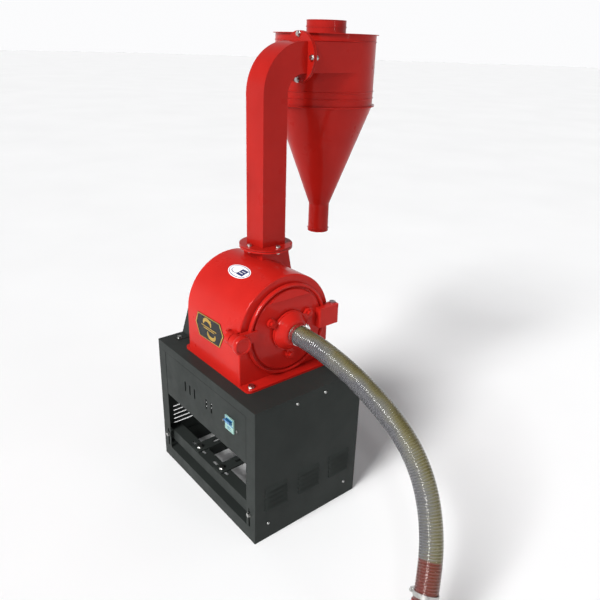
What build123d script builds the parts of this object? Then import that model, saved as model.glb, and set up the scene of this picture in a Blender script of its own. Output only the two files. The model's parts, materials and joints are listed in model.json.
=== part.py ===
from build123d import *
from math import cos, pi, radians, sin, tan
import os

# Self-priming hammer mill on a sheet-metal stand. Millimetres, +Z up.
# The origin is the centre of the stand's footprint on the floor. The rotor shaft
# runs along Y: the feed door and its hose face -Y, the belt pulley is at the +Y end.

os.makedirs("parts", exist_ok=True)

# ---------------------------------------------------------------- driving dimensions

# Stand
STAND_X = 420.0
STAND_Y = 580.0
STAND_H = 480.0
SHEET = 2.5
PANEL = 2.0
TOP_PLATE = 4.0
SKIRT_H = 32.0
POST_FACE = 46.0
POST_SIDE = 34.0
SILL_H = 48.0
PANEL_Z = 280.0
GAP = 0.3

# Motor platform
RAIL_FACE_X = 195.0
RAIL_TOP = 118.0
RAIL_SIZE = 42.0
RAIL_WALL = 4.0
RAIL_BOLT_Y = 259.0
RAIL_BOLT_Z = 98.0
BAR_WIDTH = 46.0
BAR_DROP = 36.0
BAR_BOLT_X = 174.0
FEED_BAR_Y = -47.0
BELT_BAR_Y = 95.0

# Casing, on the shaft axis
AXIS_X = 5.0
AXIS_Z = 635.0
CASE_R = 172.0
CASE_FRONT = -150.0
CASE_BACK = 145.0
CHAMBER_R = 147.0
FOOT_T = 7.0
FRONT_FOOT_Y = -195.0
BACK_FOOT_Y = 181.0
FOOT_BOLT_X = 146.0
FOOT_BOLT_YS = (-174.0, 165.0)

# Outlet duct and its flanges
DUCT = 88.0
DUCT_WALL = 2.0
DUCT_X = 75.0
DUCT_Y = 51.0
FLANGE_T = 5.0
GASKET_T = 1.5
FLANGE_PCD = 129.0
NECK = 102.0
NECK_TOP = 836.0
LOW_FLANGE_R = 86.0
HIGH_FLANGE_R = 73.0
ELBOW_Z = 1297.0
ELBOW_R = 148.0
OUTLET_X = 195.0

# Cyclone
CYC_X = 406.0
CYC_Y = 174.0
CYC_R = 167.0
CYC_LOW = 1250.0
CYC_HIGH = 1468.0
CYC_RIM = 174.7
CYC_SHEET = 1.5
CONE_END_R = 37.0
CONE_END_Z = 902.0
SPOUT_Z = 800.0
EXHAUST_R = 65.5
EXHAUST_TOP = 1510.0
EXHAUST_LOW = 1330.0

# Door, inlet dome and hinge
DOOR_R = 147.0
DOOR_BACK = -152.0
DOOR_RING = -166.5
DOOR_FACE = -165.0
DOME_FACE = -203.0
DOME_BOLT_R = 82.0
HINGE_X = 182.0
HINGE_Y = -164.0
HINGE_R = 7.0
ARM_LOW = 616.0
ARM_HIGH = 680.0

# Hand-nut clamp of the door
CLAMP_X = -186.0
CLAMP_Z = 650.0
CLAMP_SCREW_R = 5.4

# Shaft, rotor and fan
SHAFT_R = 17.5
DISC_R = 96.0
DISC_T = 6.0
DISC_YS = (-112.0, -84.0, -56.0)
PIN_R = 6.0
PIN_CIRCLE = 80.0
HAMMER_TIP = 118.0
SCREEN_R = 126.0
FAN_R = 125.0

# Bearings and pulley
BEARING_R = 36.0
BEARING_W = 17.0
HOUSING_R = 46.0
HOUSING_Y = (165.0, 240.0)
PEDESTAL_Y = 210.0
PEDESTAL_T = 14.0
PULLEY_R = 50.0
PULLEY_Y = (250.0, 276.0)

# Suction hose: a free tube from the dome to the nozzle
HOSE_R = 31.0
HOSE_BORE_R = 26.0
HOSE_ROUTE = [
    (5, -203, 635),
    (5, -279, 635),
    (9, -355, 622),
    (17, -434, 599),
    (22, -506, 569),
    (27, -576, 533),
    (28, -641, 491),
    (21, -698, 441),
    (4, -747, 384),
    (-22, -788, 321),
    (-54, -820, 253),
    (-90, -842, 186),
]
NOZZLE_LENGTH = 200.0
SPIGOT_LENGTH = 110.0

SIDES = (-1, 1)
FRONT_FRAME = Plane(origin=(AXIS_X, 0, AXIS_Z), x_dir=(1, 0, 0), z_dir=(0, -1, 0))
SECTION = Plane(origin=(AXIS_X, 0, AXIS_Z), x_dir=(1, 0, 0), z_dir=(0, 0, 1))
SHAFT_AXIS = Axis((AXIS_X, 0, AXIS_Z), (0, 1, 0))


# ---------------------------------------------------------------- helpers


def save(piece, name):
    """Label a finished piece and write it as its own file."""
    piece.part.label = name
    export_step(piece.part, f"parts/{name}.step")


def facing_front(y, x=AXIS_X, z=AXIS_Z):
    """Plane across the shaft that looks to -Y; its own x and y run along X and Z."""
    return Plane(origin=(x, y, z), x_dir=(1, 0, 0), z_dir=(0, -1, 0))


def slab(x_span, y_span, z_span, mode=Mode.ADD):
    """Block between two values of each axis, added to the part in hand."""
    middle = [(low + high) / 2 for low, high in (x_span, y_span, z_span)]
    size = [high - low for low, high in (x_span, y_span, z_span)]
    with Locations(tuple(middle)):
        Box(*size, mode=mode)


def disc(plane, radius, thickness, bore=0.0, mode=Mode.ADD):
    """Round plate, or ring when it has a bore, that grows from its plane."""
    with BuildSketch(plane) as profile:
        Circle(radius)
        if bore:
            Circle(bore, mode=Mode.SUBTRACT)
    extrude(profile.sketch, amount=thickness, mode=mode)


def hex_prism(plane, across_flats, thickness):
    """Hexagon head or nut that grows from its plane."""
    with BuildSketch(plane) as profile:
        RegularPolygon(across_flats / 2, 6, major_radius=False)
    extrude(profile.sketch, amount=thickness)


def bolt(seat, shank_r, grip, across_flats, nut=True):
    """Hexagon bolt with washers: the head sits on the seat plane and points along it."""
    head_h = 1.3 * shank_r
    disc(seat, 2.1 * shank_r, 1.5)
    hex_prism(seat.offset(1.5), across_flats, head_h)
    disc(seat, shank_r, -grip)
    if nut:
        disc(seat.offset(-grip), 2.1 * shank_r, -1.5)
        hex_prism(seat.offset(-grip - 1.5), across_flats, -1.6 * shank_r)
        disc(seat.offset(-grip), shank_r, -1.5 - 1.6 * shank_r - 3.0)


def bolt_group(name, seats, shank_r, grip, across_flats, nut=True):
    """Several identical bolts that share one node."""
    with BuildPart() as bolts:
        for seat in seats:
            bolt(seat, shank_r, grip, across_flats, nut)
    save(bolts, name)


def side_plane(side, distance, y, z):
    """Plane on the ±X side of the stand that looks outward; its x runs along Y."""
    return Plane(origin=(side * distance, y, z), x_dir=(0, side, 0), z_dir=(side, 0, 0))


def end_plane(side, distance, x, z):
    """Plane on the ±Y side of the stand that looks outward; its x runs along X."""
    return Plane(origin=(x, side * distance, z), x_dir=(-side, 0, 0), z_dir=(0, side, 0))


# ---------------------------------------------------------------- stand: frame

HALF_X = STAND_X / 2
HALF_Y = STAND_Y / 2
INNER_X = HALF_X - SHEET
FLANGE_Y = HALF_Y - PANEL
INNER_Y = FLANGE_Y - SHEET
TOP_UNDER = STAND_H - TOP_PLATE
SKIRT_Z = STAND_H - SKIRT_H
POST_Y = HALF_Y - POST_FACE
SILL_REACH = 38.0
END_SILL_H = 70.0
END_SHELF = 28.0
BELT_SLOT_X = 76.0
BELT_SLOT_Y = (247.0, 279.0)
PANEL_SCREWS = ((-55.0, 455.0), (55.0, 455.0), (-160.0, 58.0), (160.0, 58.0))

with BuildPart() as cabinet_frame:
    for sx in SIDES:
        for sy in SIDES:
            face = sorted((sx * INNER_X, sx * HALF_X))
            slab(face, sorted((sy * POST_Y, sy * FLANGE_Y)), (0, SKIRT_Z - GAP))
            web = sorted((sx * (HALF_X - POST_SIDE), sx * INNER_X))
            slab(web, sorted((sy * INNER_Y, sy * FLANGE_Y)), (0, TOP_UNDER))
            corner = sorted((sx * INNER_X, sx * HALF_X))
            slab(corner, sorted((sy * INNER_Y, sy * FLANGE_Y)), (0, SKIRT_Z - GAP))
        slab(sorted((sx * INNER_X, sx * HALF_X)), (-POST_Y, POST_Y), (0, SILL_H))
        ledge = sorted((sx * (HALF_X - SILL_REACH), sx * HALF_X))
        slab(ledge, (-INNER_Y, INNER_Y), (SILL_H - SHEET, SILL_H))
        ring = sorted((sx * (INNER_X - SHEET), sx * INNER_X))
        slab(ring, (-FLANGE_Y, FLANGE_Y), (430, TOP_UNDER))
        shelf = sorted((sx * (HALF_X - SILL_REACH), sx * INNER_X))
        slab(shelf, (-FLANGE_Y, FLANGE_Y), (TOP_UNDER - SHEET, TOP_UNDER))
    for sy in SIDES:
        plate = sorted((sy * INNER_Y, sy * FLANGE_Y))
        slab((-INNER_X, INNER_X), plate, (0, END_SILL_H))
        slab((-INNER_X, INNER_X), plate, (440, TOP_UNDER))
        shelf = sorted((sy * (FLANGE_Y - END_SHELF), sy * FLANGE_Y))
        slab((-INNER_X, INNER_X), shelf, (TOP_UNDER - SHEET, TOP_UNDER))
    belt_hole_x = (AXIS_X - BELT_SLOT_X, AXIS_X + BELT_SLOT_X)
    slab(belt_hole_x, BELT_SLOT_Y, (TOP_UNDER - 10, TOP_UNDER + 1), Mode.SUBTRACT)
    for sx in SIDES:
        for sy in SIDES:
            slot_plane = side_plane(sx, HALF_X + 1, sy * RAIL_BOLT_Y, 86.5)
            with BuildSketch(slot_plane):
                SlotOverall(73, 9, rotation=90)
            extrude(amount=-6, mode=Mode.SUBTRACT)
    for sy in SIDES:
        for x, z in PANEL_SCREWS:
            disc(end_plane(sy, HALF_Y, x, z), 3.2, -8, mode=Mode.SUBTRACT)
save(cabinet_frame, "cabinet_frame")

# ---------------------------------------------------------------- stand: top

PEDESTAL_BOLT_X = 92.0
PEDESTAL_BOLT_YS = (197.0, 225.0)
GUARD_BOLT_X = 155.0
GUARD_BOLT_Y = 249.0

with BuildPart() as cabinet_top:
    slab((-HALF_X, HALF_X), (-HALF_Y, HALF_Y), (TOP_UNDER, STAND_H))
    for sx in SIDES:
        skirt = sorted((sx * (INNER_X + GAP), sx * HALF_X))
        slab(skirt, (-FLANGE_Y + GAP, FLANGE_Y - GAP), (SKIRT_Z, TOP_UNDER))
    fillet(cabinet_top.edges().filter_by(Axis.Y).sort_by(Axis.Z)[-2:], 2.0)
    slab(belt_hole_x, BELT_SLOT_Y, (TOP_UNDER - 1, STAND_H + 1), Mode.SUBTRACT)
    with BuildSketch(Plane.XY.offset(STAND_H)):
        for sx in SIDES:
            for sy in SIDES:
                with Locations((AXIS_X + sx * FOOT_BOLT_X, FOOT_BOLT_YS[sy > 0])):
                    Circle(5.5)
            for y in PEDESTAL_BOLT_YS:
                with Locations((AXIS_X + sx * PEDESTAL_BOLT_X, y)):
                    Circle(5.5)
            with Locations((AXIS_X + sx * GUARD_BOLT_X, GUARD_BOLT_Y)):
                Circle(4.5)
    extrude(amount=-10, mode=Mode.SUBTRACT)
save(cabinet_top, "cabinet_top")

# ---------------------------------------------------------------- stand: panels

PANEL_TOP = SKIRT_Z - GAP
PANEL_HALF = POST_Y - GAP
VENT_YS = (112.0, 82.0, 52.0, -22.0, -52.0)
BREAKER_Y = -160.0
BREAKER_Z = 376.0
BREAKER_W = 46.0
BREAKER_H = 48.0
BREAKER_SCREW = 38.0


def face_panel(side):
    """Upper panel of a long side, with a folded lower edge and joggled tabs behind the posts."""
    outer = sorted((side * (HALF_X - 0.4), side * (INNER_X - GAP - SHEET)))
    skin = sorted((side * (HALF_X - 0.4), side * (HALF_X - 0.4 - PANEL)))
    tab = sorted((side * (INNER_X - GAP), side * (INNER_X - GAP - PANEL)))
    slab(skin, (-PANEL_HALF, PANEL_HALF), (PANEL_Z, PANEL_TOP))
    for sy in SIDES:
        slab(outer, sorted((sy * (PANEL_HALF - 3), sy * PANEL_HALF)), (PANEL_Z, 429))
        slab(tab, sorted((sy * (PANEL_HALF - 3), sy * 268)), (PANEL_Z, 429))
    lip = sorted((side * (HALF_X - 0.4), side * (HALF_X - 24)))
    slab(lip, (-PANEL_HALF + 3, PANEL_HALF - 3), (PANEL_Z, PANEL_Z + PANEL))


with BuildPart() as front_panel:
    face_panel(-1)
    with BuildSketch(side_plane(-1, HALF_X, 0, 374)):
        with Locations(*[(-y, 0) for y in VENT_YS]):
            SlotOverall(38, 8, rotation=90)
    extrude(amount=-4, mode=Mode.SUBTRACT)
    with BuildSketch(side_plane(-1, HALF_X, BREAKER_Y, BREAKER_Z)):
        Rectangle(BREAKER_W + 1, BREAKER_H + 1)
    extrude(amount=-4, mode=Mode.SUBTRACT)
    for sy in SIDES:
        screw_plane = side_plane(-1, HALF_X, BREAKER_Y + sy * BREAKER_SCREW, BREAKER_Z - 6)
        disc(screw_plane, 2.2, -4, mode=Mode.SUBTRACT)
save(front_panel, "front_panel")

with BuildPart() as back_panel:
    face_panel(1)
save(back_panel, "back_panel")

LOUVRE_LENGTH = 84.0
LOUVRE_HOOD = 6.0
LOUVRE_RISE = 9.0
LOUVRE_XS = (-130.0, 0.0, 130.0)
LOUVRE_ZS = (112.0, 130.0, 148.0, 166.0, 184.0)


def louvre_profile(plane, depth, rise, length, mode):
    """Triangular hood section, widest at its open lower edge, extruded both ways."""
    with BuildSketch(plane) as profile:
        with BuildLine():
            Polyline((0, 0), (depth, 0), (0, rise), close=True)
        make_face()
    extrude(profile.sketch, amount=length / 2, both=True, mode=mode)


def louvred_panel(side):
    """End panel with groups of hooded slots that open downward."""
    slab((-HALF_X, HALF_X), sorted((side * FLANGE_Y, side * HALF_Y)), (0.5, TOP_UNDER - GAP))
    for x in LOUVRE_XS:
        for z in LOUVRE_ZS:
            hood = Plane(origin=(x, side * HALF_Y, z), x_dir=(0, side, 0), z_dir=(side, 0, 0))
            louvre_profile(hood, LOUVRE_HOOD, LOUVRE_RISE + 3, LOUVRE_LENGTH, Mode.ADD)
    for x in LOUVRE_XS:
        for z in LOUVRE_ZS:
            inner = Plane(origin=(x, side * FLANGE_Y, z), x_dir=(0, side, 0), z_dir=(side, 0, 0))
            louvre_profile(inner, LOUVRE_HOOD, LOUVRE_RISE, LOUVRE_LENGTH - 3, Mode.SUBTRACT)
    for x, z in PANEL_SCREWS:
        disc(end_plane(side, HALF_Y, x, z), 3.2, -PANEL, mode=Mode.SUBTRACT)


with BuildPart() as side_panel_feed:
    louvred_panel(-1)
save(side_panel_feed, "side_panel_feed")

with BuildPart() as side_panel_belt:
    louvred_panel(1)
save(side_panel_belt, "side_panel_belt")

with BuildPart() as panel_screws:
    for sy in SIDES:
        for x, z in PANEL_SCREWS:
            seat = end_plane(sy, HALF_Y, x, z)
            with BuildSketch(seat):
                Circle(5.5)
            extrude(amount=3, taper=25)
            disc(seat, 3.0, -9)
    for sy in SIDES:
        seat = side_plane(-1, HALF_X - 0.4, BREAKER_Y + sy * BREAKER_SCREW, BREAKER_Z - 6)
        disc(seat, 4.0, 2.2)
        disc(seat, 2.0, -7)
save(panel_screws, "panel_screws")

# ---------------------------------------------------------------- circuit breaker

BREAKER_FACE = HALF_X + 4.0
TOGGLE_Z = BREAKER_Z + 9.0

with BuildPart() as breaker_body:
    body_y = (BREAKER_Y - BREAKER_W / 2, BREAKER_Y + BREAKER_W / 2)
    body_z = (BREAKER_Z - BREAKER_H / 2, BREAKER_Z + BREAKER_H / 2)
    slab((-BREAKER_FACE, -150), body_y, body_z)
    fillet(breaker_body.faces().sort_by(Axis.X)[0].edges(), 1.5)
    bracket_x = (-(HALF_X - 0.4 - PANEL) + 0.0, -(HALF_X - 0.4 - PANEL) + 2.0)
    slab(bracket_x, (BREAKER_Y - 46, BREAKER_Y + 46), (BREAKER_Z - 14, BREAKER_Z + 4))
    toggle_bay = (BREAKER_Y - 17, BREAKER_Y + 17)
    slab((-BREAKER_FACE - 1, -BREAKER_FACE + 12), toggle_bay, (TOGGLE_Z - 9, TOGGLE_Z + 9), Mode.SUBTRACT)
    for sy in SIDES:
        screw_plane = side_plane(-1, HALF_X, BREAKER_Y + sy * BREAKER_SCREW, BREAKER_Z - 6)
        disc(screw_plane, 2.2, -8, mode=Mode.SUBTRACT)
save(breaker_body, "breaker_body")

with BuildPart() as breaker_toggle:
    pivot = Plane(origin=(-BREAKER_FACE + 4, BREAKER_Y, TOGGLE_Z), x_dir=(-1, 0, 0), z_dir=(0, 1, 0))
    with BuildSketch(pivot):
        Circle(5.5)
        with BuildLine():
            Polyline((0, 4.5), (13, 8.5), (13, 3.0), (0, -4.5), close=True)
        make_face()
    extrude(amount=16, both=True)
save(breaker_toggle, "breaker_toggle")

# ---------------------------------------------------------------- motor platform

RAIL_HALF = INNER_Y - 2.5
RAIL_IN_X = RAIL_FACE_X - RAIL_SIZE
RAIL_SLOTS = ((FEED_BAR_Y + 8, 90.0), (BELT_BAR_Y + 4, 87.0))


def motor_rail(side):
    """Angle rail along Y with slotted top flange and spacer bosses at the post bolts."""
    upright = sorted((side * (RAIL_FACE_X - RAIL_WALL), side * RAIL_FACE_X))
    slab(upright, (-RAIL_HALF, RAIL_HALF), (RAIL_TOP - RAIL_SIZE, RAIL_TOP))
    flange = sorted((side * RAIL_IN_X, side * RAIL_FACE_X))
    slab(flange, (-RAIL_HALF, RAIL_HALF), (RAIL_TOP - RAIL_WALL, RAIL_TOP))
    for sy in SIDES:
        boss = side_plane(side, RAIL_FACE_X, sy * RAIL_BOLT_Y, RAIL_BOLT_Z)
        disc(boss, 9.0, INNER_X - GAP - RAIL_FACE_X)
        disc(boss.offset(20), 4.3, -40, mode=Mode.SUBTRACT)
    with BuildSketch(Plane.XY.offset(RAIL_TOP)) as slots:
        for y, length in RAIL_SLOTS:
            with Locations((side * BAR_BOLT_X, y)):
                SlotOverall(length, 10.5, rotation=90)
    extrude(slots.sketch, amount=-RAIL_WALL, mode=Mode.SUBTRACT)


with BuildPart() as motor_rail_front:
    motor_rail(-1)
save(motor_rail_front, "motor_rail_front")

with BuildPart() as motor_rail_back:
    motor_rail(1)
save(motor_rail_back, "motor_rail_back")

rail_seats = [
    side_plane(sx, HALF_X + GAP, sy * RAIL_BOLT_Y, RAIL_BOLT_Z) for sx in SIDES for sy in SIDES
]
RAIL_GRIP = HALF_X + GAP - RAIL_FACE_X + RAIL_WALL
bolt_group("rail_bolts", rail_seats, 4.0, RAIL_GRIP, 13.0)

BAR_BASE = RAIL_TOP + GAP
BAR_HALF = RAIL_FACE_X - 2.0
BAR_SLOT_X = 85.0
BAR_SLOT = 70.0
BAR_SLOT_W = 11.0


def cross_bar(y, web_side):
    """Angle bar across the rails, slotted along X for the motor's feet."""
    half = BAR_WIDTH / 2
    slab((-BAR_HALF, BAR_HALF), (y - half, y + half), (BAR_BASE, BAR_BASE + RAIL_WALL))
    web = sorted((y + web_side * (half - RAIL_WALL), y + web_side * half))
    slab((-RAIL_IN_X + 4, RAIL_IN_X - 4), web, (BAR_BASE - BAR_DROP, BAR_BASE + RAIL_WALL))
    with BuildSketch(Plane.XY.offset(BAR_BASE + RAIL_WALL)) as slots:
        with Locations((-BAR_SLOT_X, y), (BAR_SLOT_X, y)):
            SlotOverall(BAR_SLOT, BAR_SLOT_W)
        with Locations((-BAR_BOLT_X, y), (BAR_BOLT_X, y)):
            Circle(5.5)
    extrude(slots.sketch, amount=-RAIL_WALL, mode=Mode.SUBTRACT)


with BuildPart() as cross_bar_feed:
    cross_bar(FEED_BAR_Y, 1)
save(cross_bar_feed, "cross_bar_feed")

with BuildPart() as cross_bar_belt:
    cross_bar(BELT_BAR_Y, -1)
save(cross_bar_belt, "cross_bar_belt")

for bar_name, bar_y in (("feed_bar_bolts", FEED_BAR_Y), ("belt_bar_bolts", BELT_BAR_Y)):
    bar_seats = [
        Plane.XY.offset(BAR_BASE + RAIL_WALL).move(Location((sx * BAR_BOLT_X, bar_y, 0)))
        for sx in SIDES
    ]
    bolt_group(bar_name, bar_seats, 5.0, 2 * RAIL_WALL + 2 * GAP, 16.0)

# ---------------------------------------------------------------- mill casing

CASE_BASE = STAND_H
CASE_DROP = AXIS_Z - CASE_BASE
FRONT_WALL = 12.0
DOOR_HOLE_R = 136.0
PARTITION_Y = (-33.0, -25.0)
BACK_WALL_Y = CASE_BACK - 12.0
NECK_BORE = DUCT
COVER_R = 147.0
COVER_HOLE_R = 128.0
COVER_BOLT_R = 137.5
FLARE_Z = 743.0
FLARE_X = 144.0
CLAMP_LUG_R = 19.0
LUG_T = 20.0
NECK_BASE_Z = NECK_TOP - FLANGE_T


def casing_outline(radius, drop):
    """Half round over a straight-sided lower half, on the shaft axis."""
    Circle(radius)
    with Locations((0, -drop / 2)):
        Rectangle(2 * radius, drop)


def flange_bolt_places(radius):
    """The four bolt places of a duct flange, at the middles of its sides."""
    return [(radius, 0), (0, radius), (-radius, 0), (0, -radius)]


with BuildPart() as mill_casing:
    with BuildSketch(facing_front(CASE_FRONT)):
        casing_outline(CASE_R, CASE_DROP)
    extrude(amount=-(CASE_BACK - CASE_FRONT))
    slab((-200, 210), (-200, 200), (CASE_BASE - 40, CASE_BASE), Mode.SUBTRACT)
    fillet(mill_casing.faces().sort_by(Axis.Y)[0].edges().filter_by(GeomType.CIRCLE), 4.0)

    # feet in front and behind
    with BuildSketch(Plane.XY.offset(CASE_BASE)):
        with Locations((AXIS_X, (FRONT_FOOT_Y + BACK_FOOT_Y) / 2)):
            RectangleRounded(2 * CASE_R, BACK_FOOT_Y - FRONT_FOOT_Y, 18)
    extrude(amount=FOOT_T)

    # square neck, flared on the side where the flow leaves the drum
    with BuildSketch(Plane.XY.offset(NECK_BASE_Z)):
        with Locations((DUCT_X, DUCT_Y)):
            Rectangle(NECK, NECK)
    with BuildSketch(Plane.XY.offset(FLARE_Z)):
        flare_width = FLARE_X - (DUCT_X - NECK / 2)
        with Locations((FLARE_X - flare_width / 2, DUCT_Y)):
            Rectangle(flare_width, NECK)
    loft()
    slab((DUCT_X - NECK / 2, FLARE_X), (DUCT_Y - NECK / 2, DUCT_Y + NECK / 2), (700, FLARE_Z))
    disc(Plane.XY.offset(NECK_BASE_Z).move(Location((DUCT_X, DUCT_Y, 0))), LOW_FLANGE_R, FLANGE_T)

    # lug for the hand screw and knuckle for the hinge
    clamp_plane = facing_front(CASE_FRONT + 1, CLAMP_X, CLAMP_Z)
    lug_x = (CLAMP_X, AXIS_X - CASE_R + 6)
    disc(clamp_plane, CLAMP_LUG_R, -LUG_T)
    slab(lug_x, (CASE_FRONT + 1, CASE_FRONT + 1 + LUG_T), (CLAMP_Z - 17, CLAMP_Z + 17))
    slab((170, HINGE_X), (HINGE_Y, CASE_FRONT + 40), (635, 661))
    knuckle = Plane.XY.offset(635).move(Location((HINGE_X, HINGE_Y, 0)))
    disc(knuckle, 10.0, 26)

    # chambers, partition windows and openings
    disc(facing_front(CASE_FRONT - 1), DOOR_HOLE_R, -FRONT_WALL - 2, mode=Mode.SUBTRACT)
    grinding_length = PARTITION_Y[0] - CASE_FRONT - FRONT_WALL
    disc(facing_front(CASE_FRONT + FRONT_WALL), CHAMBER_R, -grinding_length, mode=Mode.SUBTRACT)
    disc(facing_front(PARTITION_Y[1]), CHAMBER_R, -(BACK_WALL_Y - PARTITION_Y[1]), mode=Mode.SUBTRACT)
    disc(facing_front(BACK_WALL_Y - 1), COVER_HOLE_R, -14, mode=Mode.SUBTRACT)
    disc(facing_front(PARTITION_Y[0] - 1), 20.0, -10, mode=Mode.SUBTRACT)
    with BuildSketch(facing_front(PARTITION_Y[0] - 1)):
        with PolarLocations((CHAMBER_R + SCREEN_R + 2) / 2, 18):
            Circle(8.5)
    extrude(amount=-10, mode=Mode.SUBTRACT)
    duct_x = (DUCT_X - NECK_BORE / 2, DUCT_X + NECK_BORE / 2)
    duct_y = (DUCT_Y - NECK_BORE / 2, DUCT_Y + NECK_BORE / 2)
    slab(duct_x, duct_y, (AXIS_Z + 60, NECK_TOP + 1), Mode.SUBTRACT)

    # holes for the pin, the hand screw and the bolts
    pin_plane = Plane.XY.offset(600).move(Location((HINGE_X, HINGE_Y, 0)))
    disc(pin_plane, HINGE_R + 0.05, 100, mode=Mode.SUBTRACT)
    disc(clamp_plane.offset(1), CLAMP_SCREW_R + 1.6, -40, mode=Mode.SUBTRACT)
    with BuildSketch(Plane.XY.offset(CASE_BASE + FOOT_T)):
        with Locations((AXIS_X, 0)):
            with Locations(*[(sx * FOOT_BOLT_X, y) for sx in SIDES for y in FOOT_BOLT_YS]):
                Circle(5.5)
    extrude(amount=-FOOT_T, mode=Mode.SUBTRACT)
    with BuildSketch(Plane.XY.offset(NECK_TOP)):
        with Locations((DUCT_X, DUCT_Y)):
            with Locations(*flange_bolt_places(FLANGE_PCD / 2)):
                Circle(4.5)
    extrude(amount=-FLANGE_T, mode=Mode.SUBTRACT)
    with BuildSketch(facing_front(CASE_BACK)):
        with PolarLocations(COVER_BOLT_R, 6):
            Circle(4.5)
    extrude(amount=14, mode=Mode.SUBTRACT)
save(mill_casing, "mill_casing")

foot_seats = [
    Plane.XY.offset(CASE_BASE + FOOT_T).move(Location((AXIS_X + sx * FOOT_BOLT_X, y, 0)))
    for sx in SIDES
    for y in FOOT_BOLT_YS
]
bolt_group("casing_bolts", foot_seats, 5.0, FOOT_T + TOP_PLATE, 17.0)

# ---------------------------------------------------------------- fan cover and its bolts

COVER_T = 8.0
COVER_BACK = CASE_BACK + COVER_T

with BuildPart() as fan_cover:
    disc(facing_front(CASE_BACK), COVER_R, -COVER_T)
    fillet(fan_cover.faces().sort_by(Axis.Y)[-1].edges(), 2.0)
    disc(facing_front(BACK_WALL_Y + 1), COVER_HOLE_R - 0.5, -(CASE_BACK - BACK_WALL_Y - 1))
    disc(facing_front(BACK_WALL_Y), SHAFT_R + 1.5, -40, mode=Mode.SUBTRACT)
    with BuildSketch(facing_front(CASE_BACK)):
        with PolarLocations(COVER_BOLT_R, 6):
            Circle(4.5)
    extrude(amount=-COVER_T, mode=Mode.SUBTRACT)
save(fan_cover, "fan_cover")

cover_angles = [60 * i for i in range(6)]
cover_seats = [
    Plane(
        origin=(
            AXIS_X + COVER_BOLT_R * cos(radians(a)),
            COVER_BACK,
            AXIS_Z + COVER_BOLT_R * sin(radians(a)),
        ),
        x_dir=(-1, 0, 0),
        z_dir=(0, 1, 0),
    )
    for a in cover_angles
]
bolt_group("fan_cover_bolts", cover_seats, 4.0, COVER_T + 11, 13.0, nut=False)

# ---------------------------------------------------------------- screen

SCREEN_Y = (-132.0, -36.0)
SCREEN_T = 2.0

with BuildPart() as screen_ring:
    screen_length = SCREEN_Y[1] - SCREEN_Y[0]
    disc(facing_front(SCREEN_Y[0]), SCREEN_R + SCREEN_T, -screen_length, bore=SCREEN_R)
    for row in range(4):
        for i in range(18):
            turn = 20 * i + (10 if row % 2 else 0)
            y = SCREEN_Y[0] + screen_length * (row + 0.5) / 4
            outward = (cos(radians(turn)), 0, sin(radians(turn)))
            hole = Plane(origin=(AXIS_X, y, AXIS_Z), x_dir=(0, 1, 0), z_dir=outward)
            with BuildSketch(hole.offset(SCREEN_R - 4)):
                Rectangle(15, 30)
            extrude(amount=10, mode=Mode.SUBTRACT)
save(screen_ring, "screen_ring")

# ---------------------------------------------------------------- door

RIM_LOW = -157.0
FACET_R = 128.0
FACET_LOW = 104.0

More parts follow.
